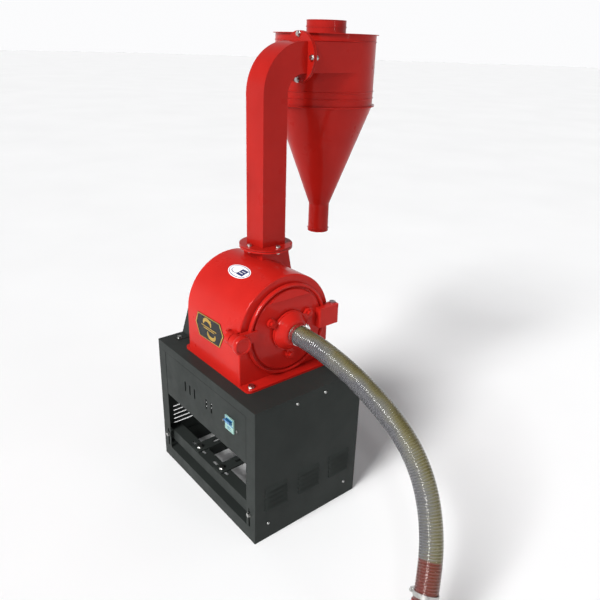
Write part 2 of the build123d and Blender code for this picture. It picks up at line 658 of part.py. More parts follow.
with BuildPart() as door:
    # sloped flat above the dome
    with BuildSketch(Plane(origin=(AXIS_X, 0, AXIS_Z), x_dir=(0, 1, 0), z_dir=(1, 0, 0))):
        with BuildLine():
            Polyline(
                (DOOR_FACE + 2, FACET_LOW),
                (DOOR_FACE - 5, FACET_LOW),
                (DOOR_FACE, FACET_R),
                (DOOR_FACE + 2, FACET_R),
                close=True,
            )
        make_face()
    extrude(amount=80, both=True)
    disc(facing_front(DOOR_FACE - 8), FACET_R, -16, mode=Mode.INTERSECT)

    # plate with a raised ring and a groove inside it
    with BuildSketch(SECTION):
        with BuildLine():
            Polyline(
                (0, DOOR_BACK),
                (DOOR_R - 3, DOOR_BACK),
                (DOOR_R, DOOR_BACK - 3),
                (DOOR_R, DOOR_RING + 4),
                (DOOR_R - 2, DOOR_RING),
                (DOOR_R - 7.5, DOOR_RING),
                (DOOR_R - 10, DOOR_RING + 4),
                (DOOR_R - 11, RIM_LOW),
                (DOOR_R - 15, RIM_LOW),
                (DOOR_R - 16.5, DOOR_FACE + 2),
                (DOOR_R - 18.5, DOOR_FACE),
                (0, DOOR_FACE),
                close=True,
            )
        make_face()
    revolve(axis=SHAFT_AXIS)
    ring_face = door.faces().filter_by(Axis.Y).sort_by(Axis.Y)[0]
    fillet(ring_face.edges().filter_by(GeomType.CIRCLE), 2.0)

    # bosses under the dome's ears
    with BuildSketch(facing_front(DOOR_FACE)):
        with PolarLocations(DOME_BOLT_R, 3, 30):
            Circle(13)
    extrude(amount=4)

    # hinge arm, with a pocket for the casing's knuckle
    slab((112, HINGE_X), (-185, DOOR_BACK), (ARM_LOW, ARM_HIGH))
    slab((HINGE_X - 2, HINGE_X + 11), (-185, HINGE_Y), (ARM_LOW, ARM_HIGH))
    fillet(door.faces().sort_by(Axis.Y)[0].edges().filter_by(Axis.Z), 6.0)
    arm_end = Plane.XY.offset(ARM_LOW).move(Location((HINGE_X, HINGE_Y, 0)))
    disc(arm_end, 11.0, ARM_HIGH - ARM_LOW)
    slab((HINGE_X - 22, HINGE_X + 15), (-176, -140), (634, 662), Mode.SUBTRACT)
    disc(arm_end.offset(-1), HINGE_R + 0.05, 80, mode=Mode.SUBTRACT)

    # clamp boss on the opposite side
    boss_plane = facing_front(-181, CLAMP_X, CLAMP_Z)
    disc(boss_plane, 21.0, -27)
    slab((CLAMP_X, -115), (-172, -155), (CLAMP_Z - 17, CLAMP_Z + 17))
    disc(boss_plane.offset(1), CLAMP_SCREW_R + 0.3, -40, mode=Mode.SUBTRACT)

    # feed hole and screw holes
    disc(facing_front(-190), 26.0, -60, mode=Mode.SUBTRACT)
    with BuildSketch(facing_front(-190)):
        with PolarLocations(DOME_BOLT_R, 3, 30):
            Circle(5.5)
    extrude(amount=-50, mode=Mode.SUBTRACT)
save(door, "door")

with BuildPart() as door_gasket:
    disc(facing_front(DOOR_BACK), DOOR_R - 3.5, -(CASE_FRONT - DOOR_BACK), bore=DOOR_HOLE_R + 0.5)
save(door_gasket, "door_gasket")

with BuildPart() as hinge_pin:
    pin_foot = Plane.XY.offset(ARM_LOW - 6).move(Location((HINGE_X, HINGE_Y, 0)))
    disc(pin_foot, HINGE_R, ARM_HIGH - ARM_LOW + 6)
    disc(Plane.XY.offset(ARM_HIGH + GAP).move(Location((HINGE_X, HINGE_Y, 0))), HINGE_R + 3, 4)
    disc(Plane.XY.offset(ARM_HIGH).move(Location((HINGE_X, HINGE_Y, 0))), HINGE_R, 1)
save(hinge_pin, "hinge_pin")

# ---------------------------------------------------------------- inlet dome

DOME_SEAT = DOOR_FACE - 4.0
DOME_FLANGE_T = 7.0
DOME_AXIS = Axis((AXIS_X, 0, AXIS_Z), (0, 1, 0))
SPIGOT_R = 25.0
SPIGOT_BORE = 21.0
SPIGOT_FRONT = -243.0

with BuildPart() as inlet_dome:
    with BuildSketch(facing_front(DOME_SEAT)):
        Circle(64)
        with PolarLocations(DOME_BOLT_R, 3, 30):
            Circle(14)
        with PolarLocations(DOME_BOLT_R / 2, 3, 30):
            Rectangle(DOME_BOLT_R, 24)
    extrude(amount=DOME_FLANGE_T)
    with BuildSketch(Plane(origin=(AXIS_X, 0, AXIS_Z), x_dir=(1, 0, 0), z_dir=(0, 0, 1))):
        with BuildLine():
            bell_foot = (62, DOME_SEAT - DOME_FLANGE_T)
            bell_top = (HOSE_R + 6, DOME_FACE + 1)
            bell = Spline(bell_foot, (56, -185), bell_top, tangents=((-0.15, -1), (-1, -0.35)))
            Polyline(bell_top, (HOSE_R + 1, DOME_FACE), (SPIGOT_R, DOME_FACE), (SPIGOT_R, SPIGOT_FRONT))
            Polyline((SPIGOT_R, SPIGOT_FRONT), (0, SPIGOT_FRONT), (0, DOME_SEAT - 1))
            Polyline((0, DOME_SEAT - 1), (62, DOME_SEAT - 1), bell_foot)
        make_face()
    revolve(axis=DOME_AXIS)
    disc(facing_front(DOME_SEAT), 25.7, -8)
    disc(facing_front(SPIGOT_FRONT - 1), SPIGOT_BORE, -120, mode=Mode.SUBTRACT)
    with BuildSketch(facing_front(-190)):
        with PolarLocations(DOME_BOLT_R, 3, 30):
            Circle(5.5)
    extrude(amount=-30, mode=Mode.SUBTRACT)
save(inlet_dome, "inlet_dome")

dome_angles = [30, 150, 270]
dome_seats = [
    facing_front(
        DOME_SEAT - DOME_FLANGE_T,
        AXIS_X + DOME_BOLT_R * cos(radians(a)),
        AXIS_Z + DOME_BOLT_R * sin(radians(a)),
    )
    for a in dome_angles
]
bolt_group("dome_bolts", dome_seats, 5.0, 24.0, 16.0, nut=False)

# ---------------------------------------------------------------- door wear plate

WEAR_FRONT = DOOR_BACK
WEAR_T = 5.0
WEAR_R = 124.0

with BuildPart() as door_wear_plate:
    disc(facing_front(WEAR_FRONT), WEAR_R, -WEAR_T)
    with BuildSketch(facing_front(WEAR_FRONT + WEAR_T)):
        with PolarLocations(92, 18):
            Rectangle(54, 7)
    extrude(amount=-5)
    disc(facing_front(-160), 26.0, -30, mode=Mode.SUBTRACT)
    with BuildSketch(facing_front(-160)):
        with PolarLocations(DOME_BOLT_R, 3, 30):
            Circle(5.5)
    extrude(amount=-30, mode=Mode.SUBTRACT)
save(door_wear_plate, "door_wear_plate")

# ---------------------------------------------------------------- hand screw of the door

with BuildPart() as clamp_screw:
    screw_plane = facing_front(-181 - GAP, CLAMP_X, CLAMP_Z)
    disc(screw_plane, CLAMP_SCREW_R, -44)
    disc(screw_plane, CLAMP_SCREW_R, 16)
save(clamp_screw, "clamp_screw")

with BuildPart() as hand_nut:
    knob_plane = facing_front(-181 - GAP, CLAMP_X, CLAMP_Z)
    disc(knob_plane, 26.0, 21.5)
    fillet(hand_nut.edges().filter_by(GeomType.CIRCLE), 3.0)
    disc(knob_plane.offset(-1), CLAMP_SCREW_R + 0.05, 17.5, mode=Mode.SUBTRACT)
save(hand_nut, "hand_nut")

# ---------------------------------------------------------------- shaft and rotor

SHAFT_FRONT = -130.0
SHAFT_BACK = 287.0
HUB_R = 30.0
HUB_Y = (-118.0, -50.0)
PIN_ANGLES = (45, 135, 225, 315)

with BuildPart() as main_shaft:
    disc(facing_front(SHAFT_BACK - 11), SHAFT_R, SHAFT_BACK - 11 - HUB_Y[0])
    disc(facing_front(HUB_Y[0]), 12.0, HUB_Y[0] - SHAFT_FRONT)
    disc(facing_front(SHAFT_BACK - 11), 12.0, -11)
    chamfer(main_shaft.faces().sort_by(Axis.Y)[-1].edges(), 1.5)
save(main_shaft, "main_shaft")

with BuildPart() as rotor:
    disc(facing_front(HUB_Y[1]), HUB_R, HUB_Y[1] - HUB_Y[0])
    for y in DISC_YS:
        disc(facing_front(y + DISC_T), DISC_R, DISC_T)
    disc(facing_front(0), SHAFT_R, 140, mode=Mode.SUBTRACT)
    with BuildSketch(facing_front(0)):
        with PolarLocations(PIN_CIRCLE, 4, PIN_ANGLES[0]):
            Circle(PIN_R)
    extrude(amount=140, mode=Mode.SUBTRACT)
save(rotor, "rotor")

with BuildPart() as rotor_nut:
    disc(facing_front(HUB_Y[0]), 24.0, 3, bore=12.0)
    hex_prism(facing_front(HUB_Y[0] - 3), 36.0, 8)
    disc(facing_front(0), 12.0, 140, mode=Mode.SUBTRACT)
save(rotor_nut, "rotor_nut")

with BuildPart() as hammer_pins:
    for a in PIN_ANGLES:
        x = AXIS_X + PIN_CIRCLE * cos(radians(a))
        z = AXIS_Z + PIN_CIRCLE * sin(radians(a))
        disc(facing_front(DISC_YS[-1] + DISC_T + 3, x, z), PIN_R, 68)
        disc(facing_front(DISC_YS[0], x, z), PIN_R + 2.5, 2.5)
        disc(facing_front(DISC_YS[-1] + DISC_T + 2.5, x, z), PIN_R + 2.5, 2.5)
save(hammer_pins, "hammer_pins")

HAMMER_T = 6.0
HAMMER_W = 30.0
HAMMER_SPACES = [(a + b + DISC_T) / 2 for a, b in zip(DISC_YS, DISC_YS[1:])]


def hammer_row(angle):
    """Two flat hammers that hang straight down from one pin, as they do at rest."""
    x = AXIS_X + PIN_CIRCLE * cos(radians(angle))
    z = AXIS_Z + PIN_CIRCLE * sin(radians(angle))
    reach = HAMMER_TIP - PIN_CIRCLE
    for y in HAMMER_SPACES:
        plane = facing_front(y + HAMMER_T / 2, x, z)
        with BuildSketch(plane) as profile:
            with Locations((0, (14 - reach) / 2)):
                Rectangle(HAMMER_W, reach + 14)
            Circle(PIN_R + 0.08, mode=Mode.SUBTRACT)
        extrude(profile.sketch, amount=HAMMER_T)


for number, angle in enumerate(PIN_ANGLES, start=1):
    with BuildPart() as hammers:
        hammer_row(angle)
    save(hammers, f"hammers_{number}")

# ---------------------------------------------------------------- fan

FAN_Y = (14.0, 98.0)

with BuildPart() as fan_impeller:
    disc(facing_front(FAN_Y[1]), 34.0, FAN_Y[1] - FAN_Y[0])
    disc(facing_front(FAN_Y[1]), FAN_R, 5)
    with BuildSketch(facing_front(FAN_Y[1] - 5)):
        with PolarLocations((FAN_R + 26) / 2, 6, 15):
            Rectangle(FAN_R - 28, 6)
    extrude(amount=FAN_Y[1] - 5 - FAN_Y[0] - 4)
    disc(facing_front(FAN_Y[1] + 1), SHAFT_R, 100, mode=Mode.SUBTRACT)
save(fan_impeller, "fan_impeller")

# ---------------------------------------------------------------- bearings and pedestal

BEARING_YS = (HOUSING_Y[0] + 3, HOUSING_Y[1] - 3 - BEARING_W)

with BuildPart() as bearing_pedestal:
    disc(facing_front(HOUSING_Y[0]), HOUSING_R, -(HOUSING_Y[1] - HOUSING_Y[0]))
    slab((AXIS_X - 38, AXIS_X + 38), (HOUSING_Y[0] + 8, HOUSING_Y[1] - 8), (CASE_BASE + 12, AXIS_Z - 20))
    with BuildSketch(Plane.XY.offset(CASE_BASE)):
        with Locations((AXIS_X, PEDESTAL_Y)):
            RectangleRounded(2 * PEDESTAL_BOLT_X + 40, 54, 12)
    extrude(amount=PEDESTAL_T)
    for y in (PEDESTAL_Y - 10, PEDESTAL_Y + 20):
        rib = Plane(origin=(AXIS_X, y, CASE_BASE + PEDESTAL_T), x_dir=(1, 0, 0), z_dir=(0, -1, 0))
        with BuildSketch(rib):
            with BuildLine():
                Polyline((-76, 0), (76, 0), (38, 90), (-38, 90), close=True)
            make_face()
        extrude(amount=-10)
    disc(facing_front(HOUSING_Y[0] - 1), SHAFT_R + 8, -90, mode=Mode.SUBTRACT)
    disc(facing_front(HOUSING_Y[0]), BEARING_R, -3 - BEARING_W, mode=Mode.SUBTRACT)
    disc(facing_front(HOUSING_Y[1]), BEARING_R, 3 + BEARING_W, mode=Mode.SUBTRACT)
    with BuildSketch(Plane.XY.offset(CASE_BASE + PEDESTAL_T)):
        for sx in SIDES:
            with Locations(*[(AXIS_X + sx * PEDESTAL_BOLT_X, y) for y in PEDESTAL_BOLT_YS]):
                Circle(5.5)
    extrude(amount=-PEDESTAL_T, mode=Mode.SUBTRACT)
save(bearing_pedestal, "bearing_pedestal")

pedestal_seats = [
    Plane.XY.offset(CASE_BASE + PEDESTAL_T).move(Location((AXIS_X + sx * PEDESTAL_BOLT_X, y, 0)))
    for sx in SIDES
    for y in PEDESTAL_BOLT_YS
]
bolt_group("pedestal_bolts", pedestal_seats, 5.0, PEDESTAL_T + TOP_PLATE, 17.0)

with BuildPart() as bearings:
    for y in BEARING_YS:
        disc(facing_front(y), BEARING_R, -BEARING_W, bore=SHAFT_R + 0.05)
        disc(facing_front(y), 31.0, -1, bore=23.0, mode=Mode.SUBTRACT)
        disc(facing_front(y + BEARING_W), 31.0, 1, bore=23.0, mode=Mode.SUBTRACT)
save(bearings, "bearings")

with BuildPart() as bearing_caps:
    disc(facing_front(HOUSING_Y[0]), HOUSING_R, 6, bore=SHAFT_R + 1)
    disc(facing_front(HOUSING_Y[0]), BEARING_R - 0.1, -3, bore=SHAFT_R + 8)
    disc(facing_front(HOUSING_Y[1]), HOUSING_R, -6, bore=SHAFT_R + 1)
    disc(facing_front(HOUSING_Y[1]), BEARING_R - 0.1, 3, bore=SHAFT_R + 8)
save(bearing_caps, "bearing_caps")

# ---------------------------------------------------------------- pulley

GROOVE_YS = (PULLEY_Y[0] + 7.5, PULLEY_Y[1] - 7.5)

with BuildPart() as mill_pulley:
    disc(facing_front(PULLEY_Y[0]), PULLEY_R, -(PULLEY_Y[1] - PULLEY_Y[0]))
    for y in GROOVE_YS:
        with BuildSketch(SECTION):
            with BuildLine():
                Polyline(
                    (PULLEY_R + 1, y - 5.2),
                    (PULLEY_R - 9, y - 3.2),
                    (PULLEY_R - 9, y + 3.2),
                    (PULLEY_R + 1, y + 5.2),
                    close=True,
                )
            make_face()
        revolve(axis=SHAFT_AXIS, mode=Mode.SUBTRACT)
    disc(facing_front(PULLEY_Y[1]), 37.0, 5, bore=26.0, mode=Mode.SUBTRACT)
    disc(facing_front(PULLEY_Y[0] - 1), SHAFT_R, -40, mode=Mode.SUBTRACT)
save(mill_pulley, "mill_pulley")

with BuildPart() as pulley_nut:
    disc(facing_front(PULLEY_Y[1]), 22.0, -3, bore=12.0)
    hex_prism(facing_front(PULLEY_Y[1] + 3), 30.0, -7)
    disc(facing_front(PULLEY_Y[1] - 1), 12.0, -14, mode=Mode.SUBTRACT)
save(pulley_nut, "pulley_nut")

# ---------------------------------------------------------------- belt guard

GUARD_Y = (246.6, 290.0)
GUARD_BASE = 120.0
GUARD_TOP_R = 80.0
GUARD_ARC_Z = 612.0
GUARD_T = 2.0


def guard_outline(inset):
    """Sloping sides under a round top, closed along the table."""
    radius = GUARD_TOP_R - inset
    foot = GUARD_BASE - inset
    rise = GUARD_ARC_Z - CASE_BASE
    with BuildLine() as edge:
        Line((-radius, rise), (-foot, 0))
        Line((-foot, 0), (foot, 0))
        Line((foot, 0), (radius, rise))
        ThreePointArc((radius, rise), (0, rise + radius), (-radius, rise))
    make_face(edge.line.edges())


with BuildPart() as belt_guard:
    with BuildSketch(facing_front(GUARD_Y[0], z=CASE_BASE)):
        guard_outline(0)
    extrude(amount=-(GUARD_Y[1] - GUARD_Y[0]))
    with BuildSketch(facing_front(GUARD_Y[0] + GUARD_T, z=CASE_BASE)):
        guard_outline(GUARD_T)
    extrude(amount=-(GUARD_Y[1] - GUARD_Y[0] - 2 * GUARD_T), mode=Mode.SUBTRACT)
    disc(facing_front(GUARD_Y[0] - 1), SHAFT_R + 4, -5, mode=Mode.SUBTRACT)
    for sx in SIDES:
        tab = sorted((AXIS_X + sx * (GUARD_BASE - 3), AXIS_X + sx * 166))
        slab(tab, (GUARD_Y[0] - 10, GUARD_Y[0] + 15), (CASE_BASE, CASE_BASE + GUARD_T))
        stud = Plane.XY.offset(CASE_BASE).move(Location((AXIS_X + sx * GUARD_BOLT_X, GUARD_BOLT_Y, 0)))
        disc(stud, 4.5, 5, mode=Mode.SUBTRACT)
save(belt_guard, "belt_guard")

guard_seats = [
    Plane.XY.offset(CASE_BASE + GUARD_T).move(Location((AXIS_X + sx * GUARD_BOLT_X, GUARD_BOLT_Y, 0)))
    for sx in SIDES
]
bolt_group("guard_bolts", guard_seats, 4.0, GUARD_T + TOP_PLATE, 13.0)

# ---------------------------------------------------------------- riser duct

LOW_FLANGE_Z = NECK_TOP + GASKET_T
DUCT_TURN_R = ELBOW_R - DUCT / 2
OUTLET_Z = ELBOW_Z + DUCT_TURN_R


with BuildPart() as riser_duct:
    with BuildLine(Plane(origin=(DUCT_X, DUCT_Y, 0), x_dir=(1, 0, 0), z_dir=(0, -1, 0))) as duct_path:
        riser = Line((0, LOW_FLANGE_Z), (0, ELBOW_Z))
        bend = RadiusArc(riser @ 1, (DUCT_TURN_R, OUTLET_Z), DUCT_TURN_R)
        Line(bend @ 1, (OUTLET_X - DUCT_X, OUTLET_Z))
    with BuildSketch(Plane.XY.offset(LOW_FLANGE_Z)):
        with Locations((DUCT_X, DUCT_Y)):
            Rectangle(DUCT, DUCT)
    sweep()
    disc(Plane.XY.offset(LOW_FLANGE_Z).move(Location((DUCT_X, DUCT_Y, 0))), LOW_FLANGE_R, FLANGE_T)
    outlet = Plane(origin=(OUTLET_X, DUCT_Y, OUTLET_Z), x_dir=(0, 1, 0), z_dir=(1, 0, 0))
    disc(outlet, HIGH_FLANGE_R, -FLANGE_T)
    with BuildSketch(Plane.XY.offset(LOW_FLANGE_Z)):
        with Locations((DUCT_X, DUCT_Y)):
            Rectangle(DUCT - 2 * DUCT_WALL, DUCT - 2 * DUCT_WALL)
    sweep(path=duct_path.line, mode=Mode.SUBTRACT)
    with BuildSketch(Plane.XY.offset(LOW_FLANGE_Z)):
        with Locations((DUCT_X, DUCT_Y)):
            with Locations(*flange_bolt_places(FLANGE_PCD / 2)):
                Circle(4.5)
    extrude(amount=FLANGE_T, mode=Mode.SUBTRACT)
    with BuildSketch(outlet):
        with Locations(*flange_bolt_places(FLANGE_PCD / 2)):
            Circle(4.5)
    extrude(amount=-FLANGE_T, mode=Mode.SUBTRACT)
save(riser_duct, "riser_duct")


def flange_gasket(plane, radius):
    """Thin sheet gasket with the duct's square opening and four bolt holes."""
    with BuildSketch(plane) as profile:
        Circle(radius)
        Rectangle(DUCT, DUCT, mode=Mode.SUBTRACT)
        with Locations(*flange_bolt_places(FLANGE_PCD / 2)):
            Circle(4.5, mode=Mode.SUBTRACT)
    extrude(profile.sketch, amount=GASKET_T)


with BuildPart() as flange_gaskets:
    flange_gasket(Plane.XY.offset(NECK_TOP).move(Location((DUCT_X, DUCT_Y, 0))), LOW_FLANGE_R - 1)
    flange_gasket(outlet, HIGH_FLANGE_R - 1)
save(flange_gaskets, "flange_gaskets")

low_seats = [
    Plane.XY.offset(LOW_FLANGE_Z + FLANGE_T).move(Location((DUCT_X + x, DUCT_Y + y, 0)))
    for x, y in flange_bolt_places(FLANGE_PCD / 2)
]

high_seats = [
    Plane(origin=(OUTLET_X - FLANGE_T, DUCT_Y + y, OUTLET_Z + z), x_dir=(0, 1, 0), z_dir=(-1, 0, 0))
    for y, z in flange_bolt_places(FLANGE_PCD / 2)
]
bolt_group("flange_bolts", low_seats + high_seats, 4.0, 2 * FLANGE_T + GASKET_T, 13.0)

# ---------------------------------------------------------------- cyclone

INLET_FLANGE_X = OUTLET_X + GASKET_T
CYC_CENTRE = Location((CYC_X, CYC_Y, 0))
CYC_AXIS = Axis((CYC_X, CYC_Y, 0), (0, 0, 1))
BEAD_ZS = (1273.0, 1294.0, 1446.0)
DUCT_LOW = OUTLET_Z - DUCT / 2
DUCT_HIGH = OUTLET_Z + DUCT / 2


def cyclone_plane(z):
    """Level plane on the cyclone's axis."""
    return Plane.XY.offset(z).move(CYC_CENTRE)


with BuildPart() as cyclone_barrel:
    disc(cyclone_plane(CYC_LOW), CYC_R, CYC_HIGH - CYC_LOW)
    disc(cyclone_plane(CYC_LOW), CYC_RIM, 2.0)
    for z in BEAD_ZS:
        disc(cyclone_plane(z), CYC_R + 1.8, 4.0)
    beads = cyclone_barrel.faces().filter_by(lambda face: face.geom_type == GeomType.CYLINDER)
    fillet(beads.filter_by(lambda face: abs(face.radius - CYC_R - 1.8) < 0.1).edges(), 1.5)
    inlet_y = (DUCT_Y - DUCT / 2, DUCT_Y + DUCT / 2)
    slab((INLET_FLANGE_X, CYC_X), inlet_y, (DUCT_LOW, DUCT_HIGH))
    inlet_flange = Plane(origin=(INLET_FLANGE_X, DUCT_Y, OUTLET_Z), x_dir=(0, 1, 0), z_dir=(1, 0, 0))
    disc(inlet_flange, HIGH_FLANGE_R, FLANGE_T)
    disc(cyclone_plane(CYC_LOW - 1), CYC_R - CYC_SHEET, 400, mode=Mode.SUBTRACT)
    bore_y = (inlet_y[0] + CYC_SHEET, inlet_y[1] - CYC_SHEET)
    slab((INLET_FLANGE_X - 1, CYC_X), bore_y, (DUCT_LOW + CYC_SHEET, DUCT_HIGH - CYC_SHEET), Mode.SUBTRACT)
    with BuildSketch(inlet_flange):
        with Locations(*flange_bolt_places(FLANGE_PCD / 2)):
            Circle(4.5)
    extrude(amount=FLANGE_T, mode=Mode.SUBTRACT)
save(cyclone_barrel, "cyclone_barrel")

with BuildPart() as cyclone_cone:
    with BuildSketch(Plane(origin=(CYC_X, CYC_Y, 0), x_dir=(1, 0, 0), z_dir=(0, -1, 0))):
        with BuildLine():
            Polyline(
                (CYC_R, CYC_LOW),
                (CYC_RIM, CYC_LOW),
                (CYC_RIM, CYC_LOW - 2),
                (CYC_R, CYC_LOW - 2),
                (CONE_END_R, CONE_END_Z),
                (CONE_END_R, SPOUT_Z),
                (CONE_END_R - CYC_SHEET, SPOUT_Z),
                (CONE_END_R - CYC_SHEET, CONE_END_Z),
                (CYC_R - 1.8, CYC_LOW),
                close=True,
            )
        make_face()
    revolve(axis=CYC_AXIS)
save(cyclone_cone, "cyclone_cone")

with BuildPart() as cyclone_lid:
    disc(cyclone_plane(CYC_HIGH), CYC_RIM, 2.0, bore=EXHAUST_R)
save(cyclone_lid, "cyclone_lid")

with BuildPart() as exhaust_pipe:
    disc(cyclone_plane(EXHAUST_LOW), EXHAUST_R, EXHAUST_TOP - EXHAUST_LOW)
    disc(cyclone_plane(1488), EXHAUST_R + 1.5, 4)
    disc(cyclone_plane(EXHAUST_LOW - 1), EXHAUST_R - CYC_SHEET, 200, mode=Mode.SUBTRACT)
save(exhaust_pipe, "exhaust_pipe")

# ---------------------------------------------------------------- hose, clamps and nozzle


def turn_radii(points):
    """Fillet radius at each inner point: 0.45 of the shorter run over tan of half the turn."""
    corners = []
    for before, here, after in zip(points, points[1:], points[2:]):
        first = Vector(*here) - Vector(*before)
        second = Vector(*after) - Vector(*here)
        half_turn = radians(first.get_angle(second)) / 2
        corners.append(0.45 * min(first.length, second.length) / tan(half_turn))
    return corners


hose_radii = turn_radii(HOSE_ROUTE)

with BuildPart() as suction_hose:
    with BuildLine() as hose_path:
        FilletPolyline(*HOSE_ROUTE, radius=hose_radii)
    with BuildSketch(Plane(hose_path.line @ 0, z_dir=hose_path.line % 0)):
        Circle(HOSE_R)
        Circle(HOSE_BORE_R, mode=Mode.SUBTRACT)
    sweep()
save(suction_hose, "suction_hose")

hose_section = pi * (HOSE_R**2 - HOSE_BORE_R**2)
hose_length = sum(edge.length for edge in hose_path.edges())
print("hose radii", [round(r) for r in hose_radii])
volume_ratio = suction_hose.part.volume / (hose_section * hose_length)
print("hose length", round(hose_length, 1), "volume ratio", volume_ratio)

CLAMP_BAND = 12.0


def hose_clamp(plane):
    """Worm-drive band round the hose with its screw housing."""
    disc(plane, HOSE_R + 1.6, CLAMP_BAND, bore=HOSE_R + GAP)
    with BuildSketch(plane.offset(CLAMP_BAND / 2 - 6)) as housing:
        with Locations((0, HOSE_R + 5.5)):
            Rectangle(18, 9)
    extrude(housing.sketch, amount=12)
    screw_origin = plane.offset(CLAMP_BAND / 2).from_local_coords((0, HOSE_R + 6, 0))
    screw = Plane(origin=screw_origin, z_dir=plane.x_dir)
    disc(screw.offset(-14), 3.5, 28)


with BuildPart() as inlet_clamp:
    hose_clamp(Plane(origin=(AXIS_X, -208, AXIS_Z), x_dir=(0.5, 0, -0.866), z_dir=(0, -1, 0)))
save(inlet_clamp, "inlet_clamp")

HOSE_END = Vector(*HOSE_ROUTE[-1])
NOZZLE_DIR = (HOSE_END - Vector(*HOSE_ROUTE[-2])).normalized()
nozzle_plane = Plane(origin=HOSE_END, x_dir=(-1, 0, 0.5), z_dir=NOZZLE_DIR)

with BuildPart() as nozzle_clamp:
    hose_clamp(nozzle_plane.offset(-22))
save(nozzle_clamp, "nozzle_clamp")

NOZZLE_R = 28.0
NOZZLE_BORE_R = 25.0

with BuildPart() as suction_nozzle:
    disc(nozzle_plane, 21.0, -SPIGOT_LENGTH)
    disc(nozzle_plane, HOSE_R + 2, 5)
    disc(nozzle_plane, NOZZLE_R, NOZZLE_LENGTH)
    disc(nozzle_plane.offset(5), NOZZLE_BORE_R, NOZZLE_LENGTH, mode=Mode.SUBTRACT)
    disc(nozzle_plane.offset(-SPIGOT_LENGTH - 1), 18.5, SPIGOT_LENGTH + 20, mode=Mode.SUBTRACT)
    for turn in (0, 90, 180, 270):
        window = nozzle_plane.offset(50).rotated((0, 0, turn))
        side = Plane(origin=window.origin, x_dir=window.z_dir, z_dir=window.x_dir)
        with BuildSketch(side):
            SlotOverall(44, 14)
        extrude(amount=NOZZLE_R + 4, mode=Mode.SUBTRACT)
save(suction_nozzle, "suction_nozzle")

with BuildPart() as air_sleeve:
    disc(nozzle_plane.offset(80), NOZZLE_R + 3, 60, bore=NOZZLE_R + 0.08)
    disc(nozzle_plane.offset(80), NOZZLE_R + 5, 8, bore=NOZZLE_R + 0.08)
save(air_sleeve, "air_sleeve")

# ---------------------------------------------------------------- plates on the casing

BADGE_T = 1.2
BADGE_CORNERS = ((81, 651), (-48, 655), (-69, 620), (-44, 572), (75, 570), (97, 613))
STICKER_TURN = -25.0
STICKER_Y = -7.0
STICKER_HALF = (52.0, 26.0)

with BuildPart() as name_badge:
    with BuildSketch(Plane(origin=(AXIS_X - CASE_R, 0, 0), x_dir=(0, -1, 0), z_dir=(-1, 0, 0))):
        with BuildLine():
            Polyline(*[(-y, z) for y, z in BADGE_CORNERS], close=True)
        make_face()
    extrude(amount=BADGE_T)
save(name_badge, "name_badge")

with BuildPart() as oval_sticker:
    tilt = radians(90 - STICKER_TURN)
    outward = Vector(cos(tilt), 0, sin(tilt))
    sticker_plane = Plane(origin=(AXIS_X, STICKER_Y, AXIS_Z), x_dir=(0, -1, 0), z_dir=outward)
    with BuildSketch(sticker_plane.offset(CASE_R - 20)):
        Ellipse(*STICKER_HALF)
    extrude(amount=40)
    with BuildSketch(facing_front(STICKER_Y + 80)):
        Circle(CASE_R + 0.5)
        Circle(CASE_R, mode=Mode.SUBTRACT)
    extrude(amount=160, mode=Mode.INTERSECT)
save(oval_sticker, "oval_sticker")
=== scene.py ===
import bpy
import bmesh
import json
import math
from mathutils import Matrix, Vector

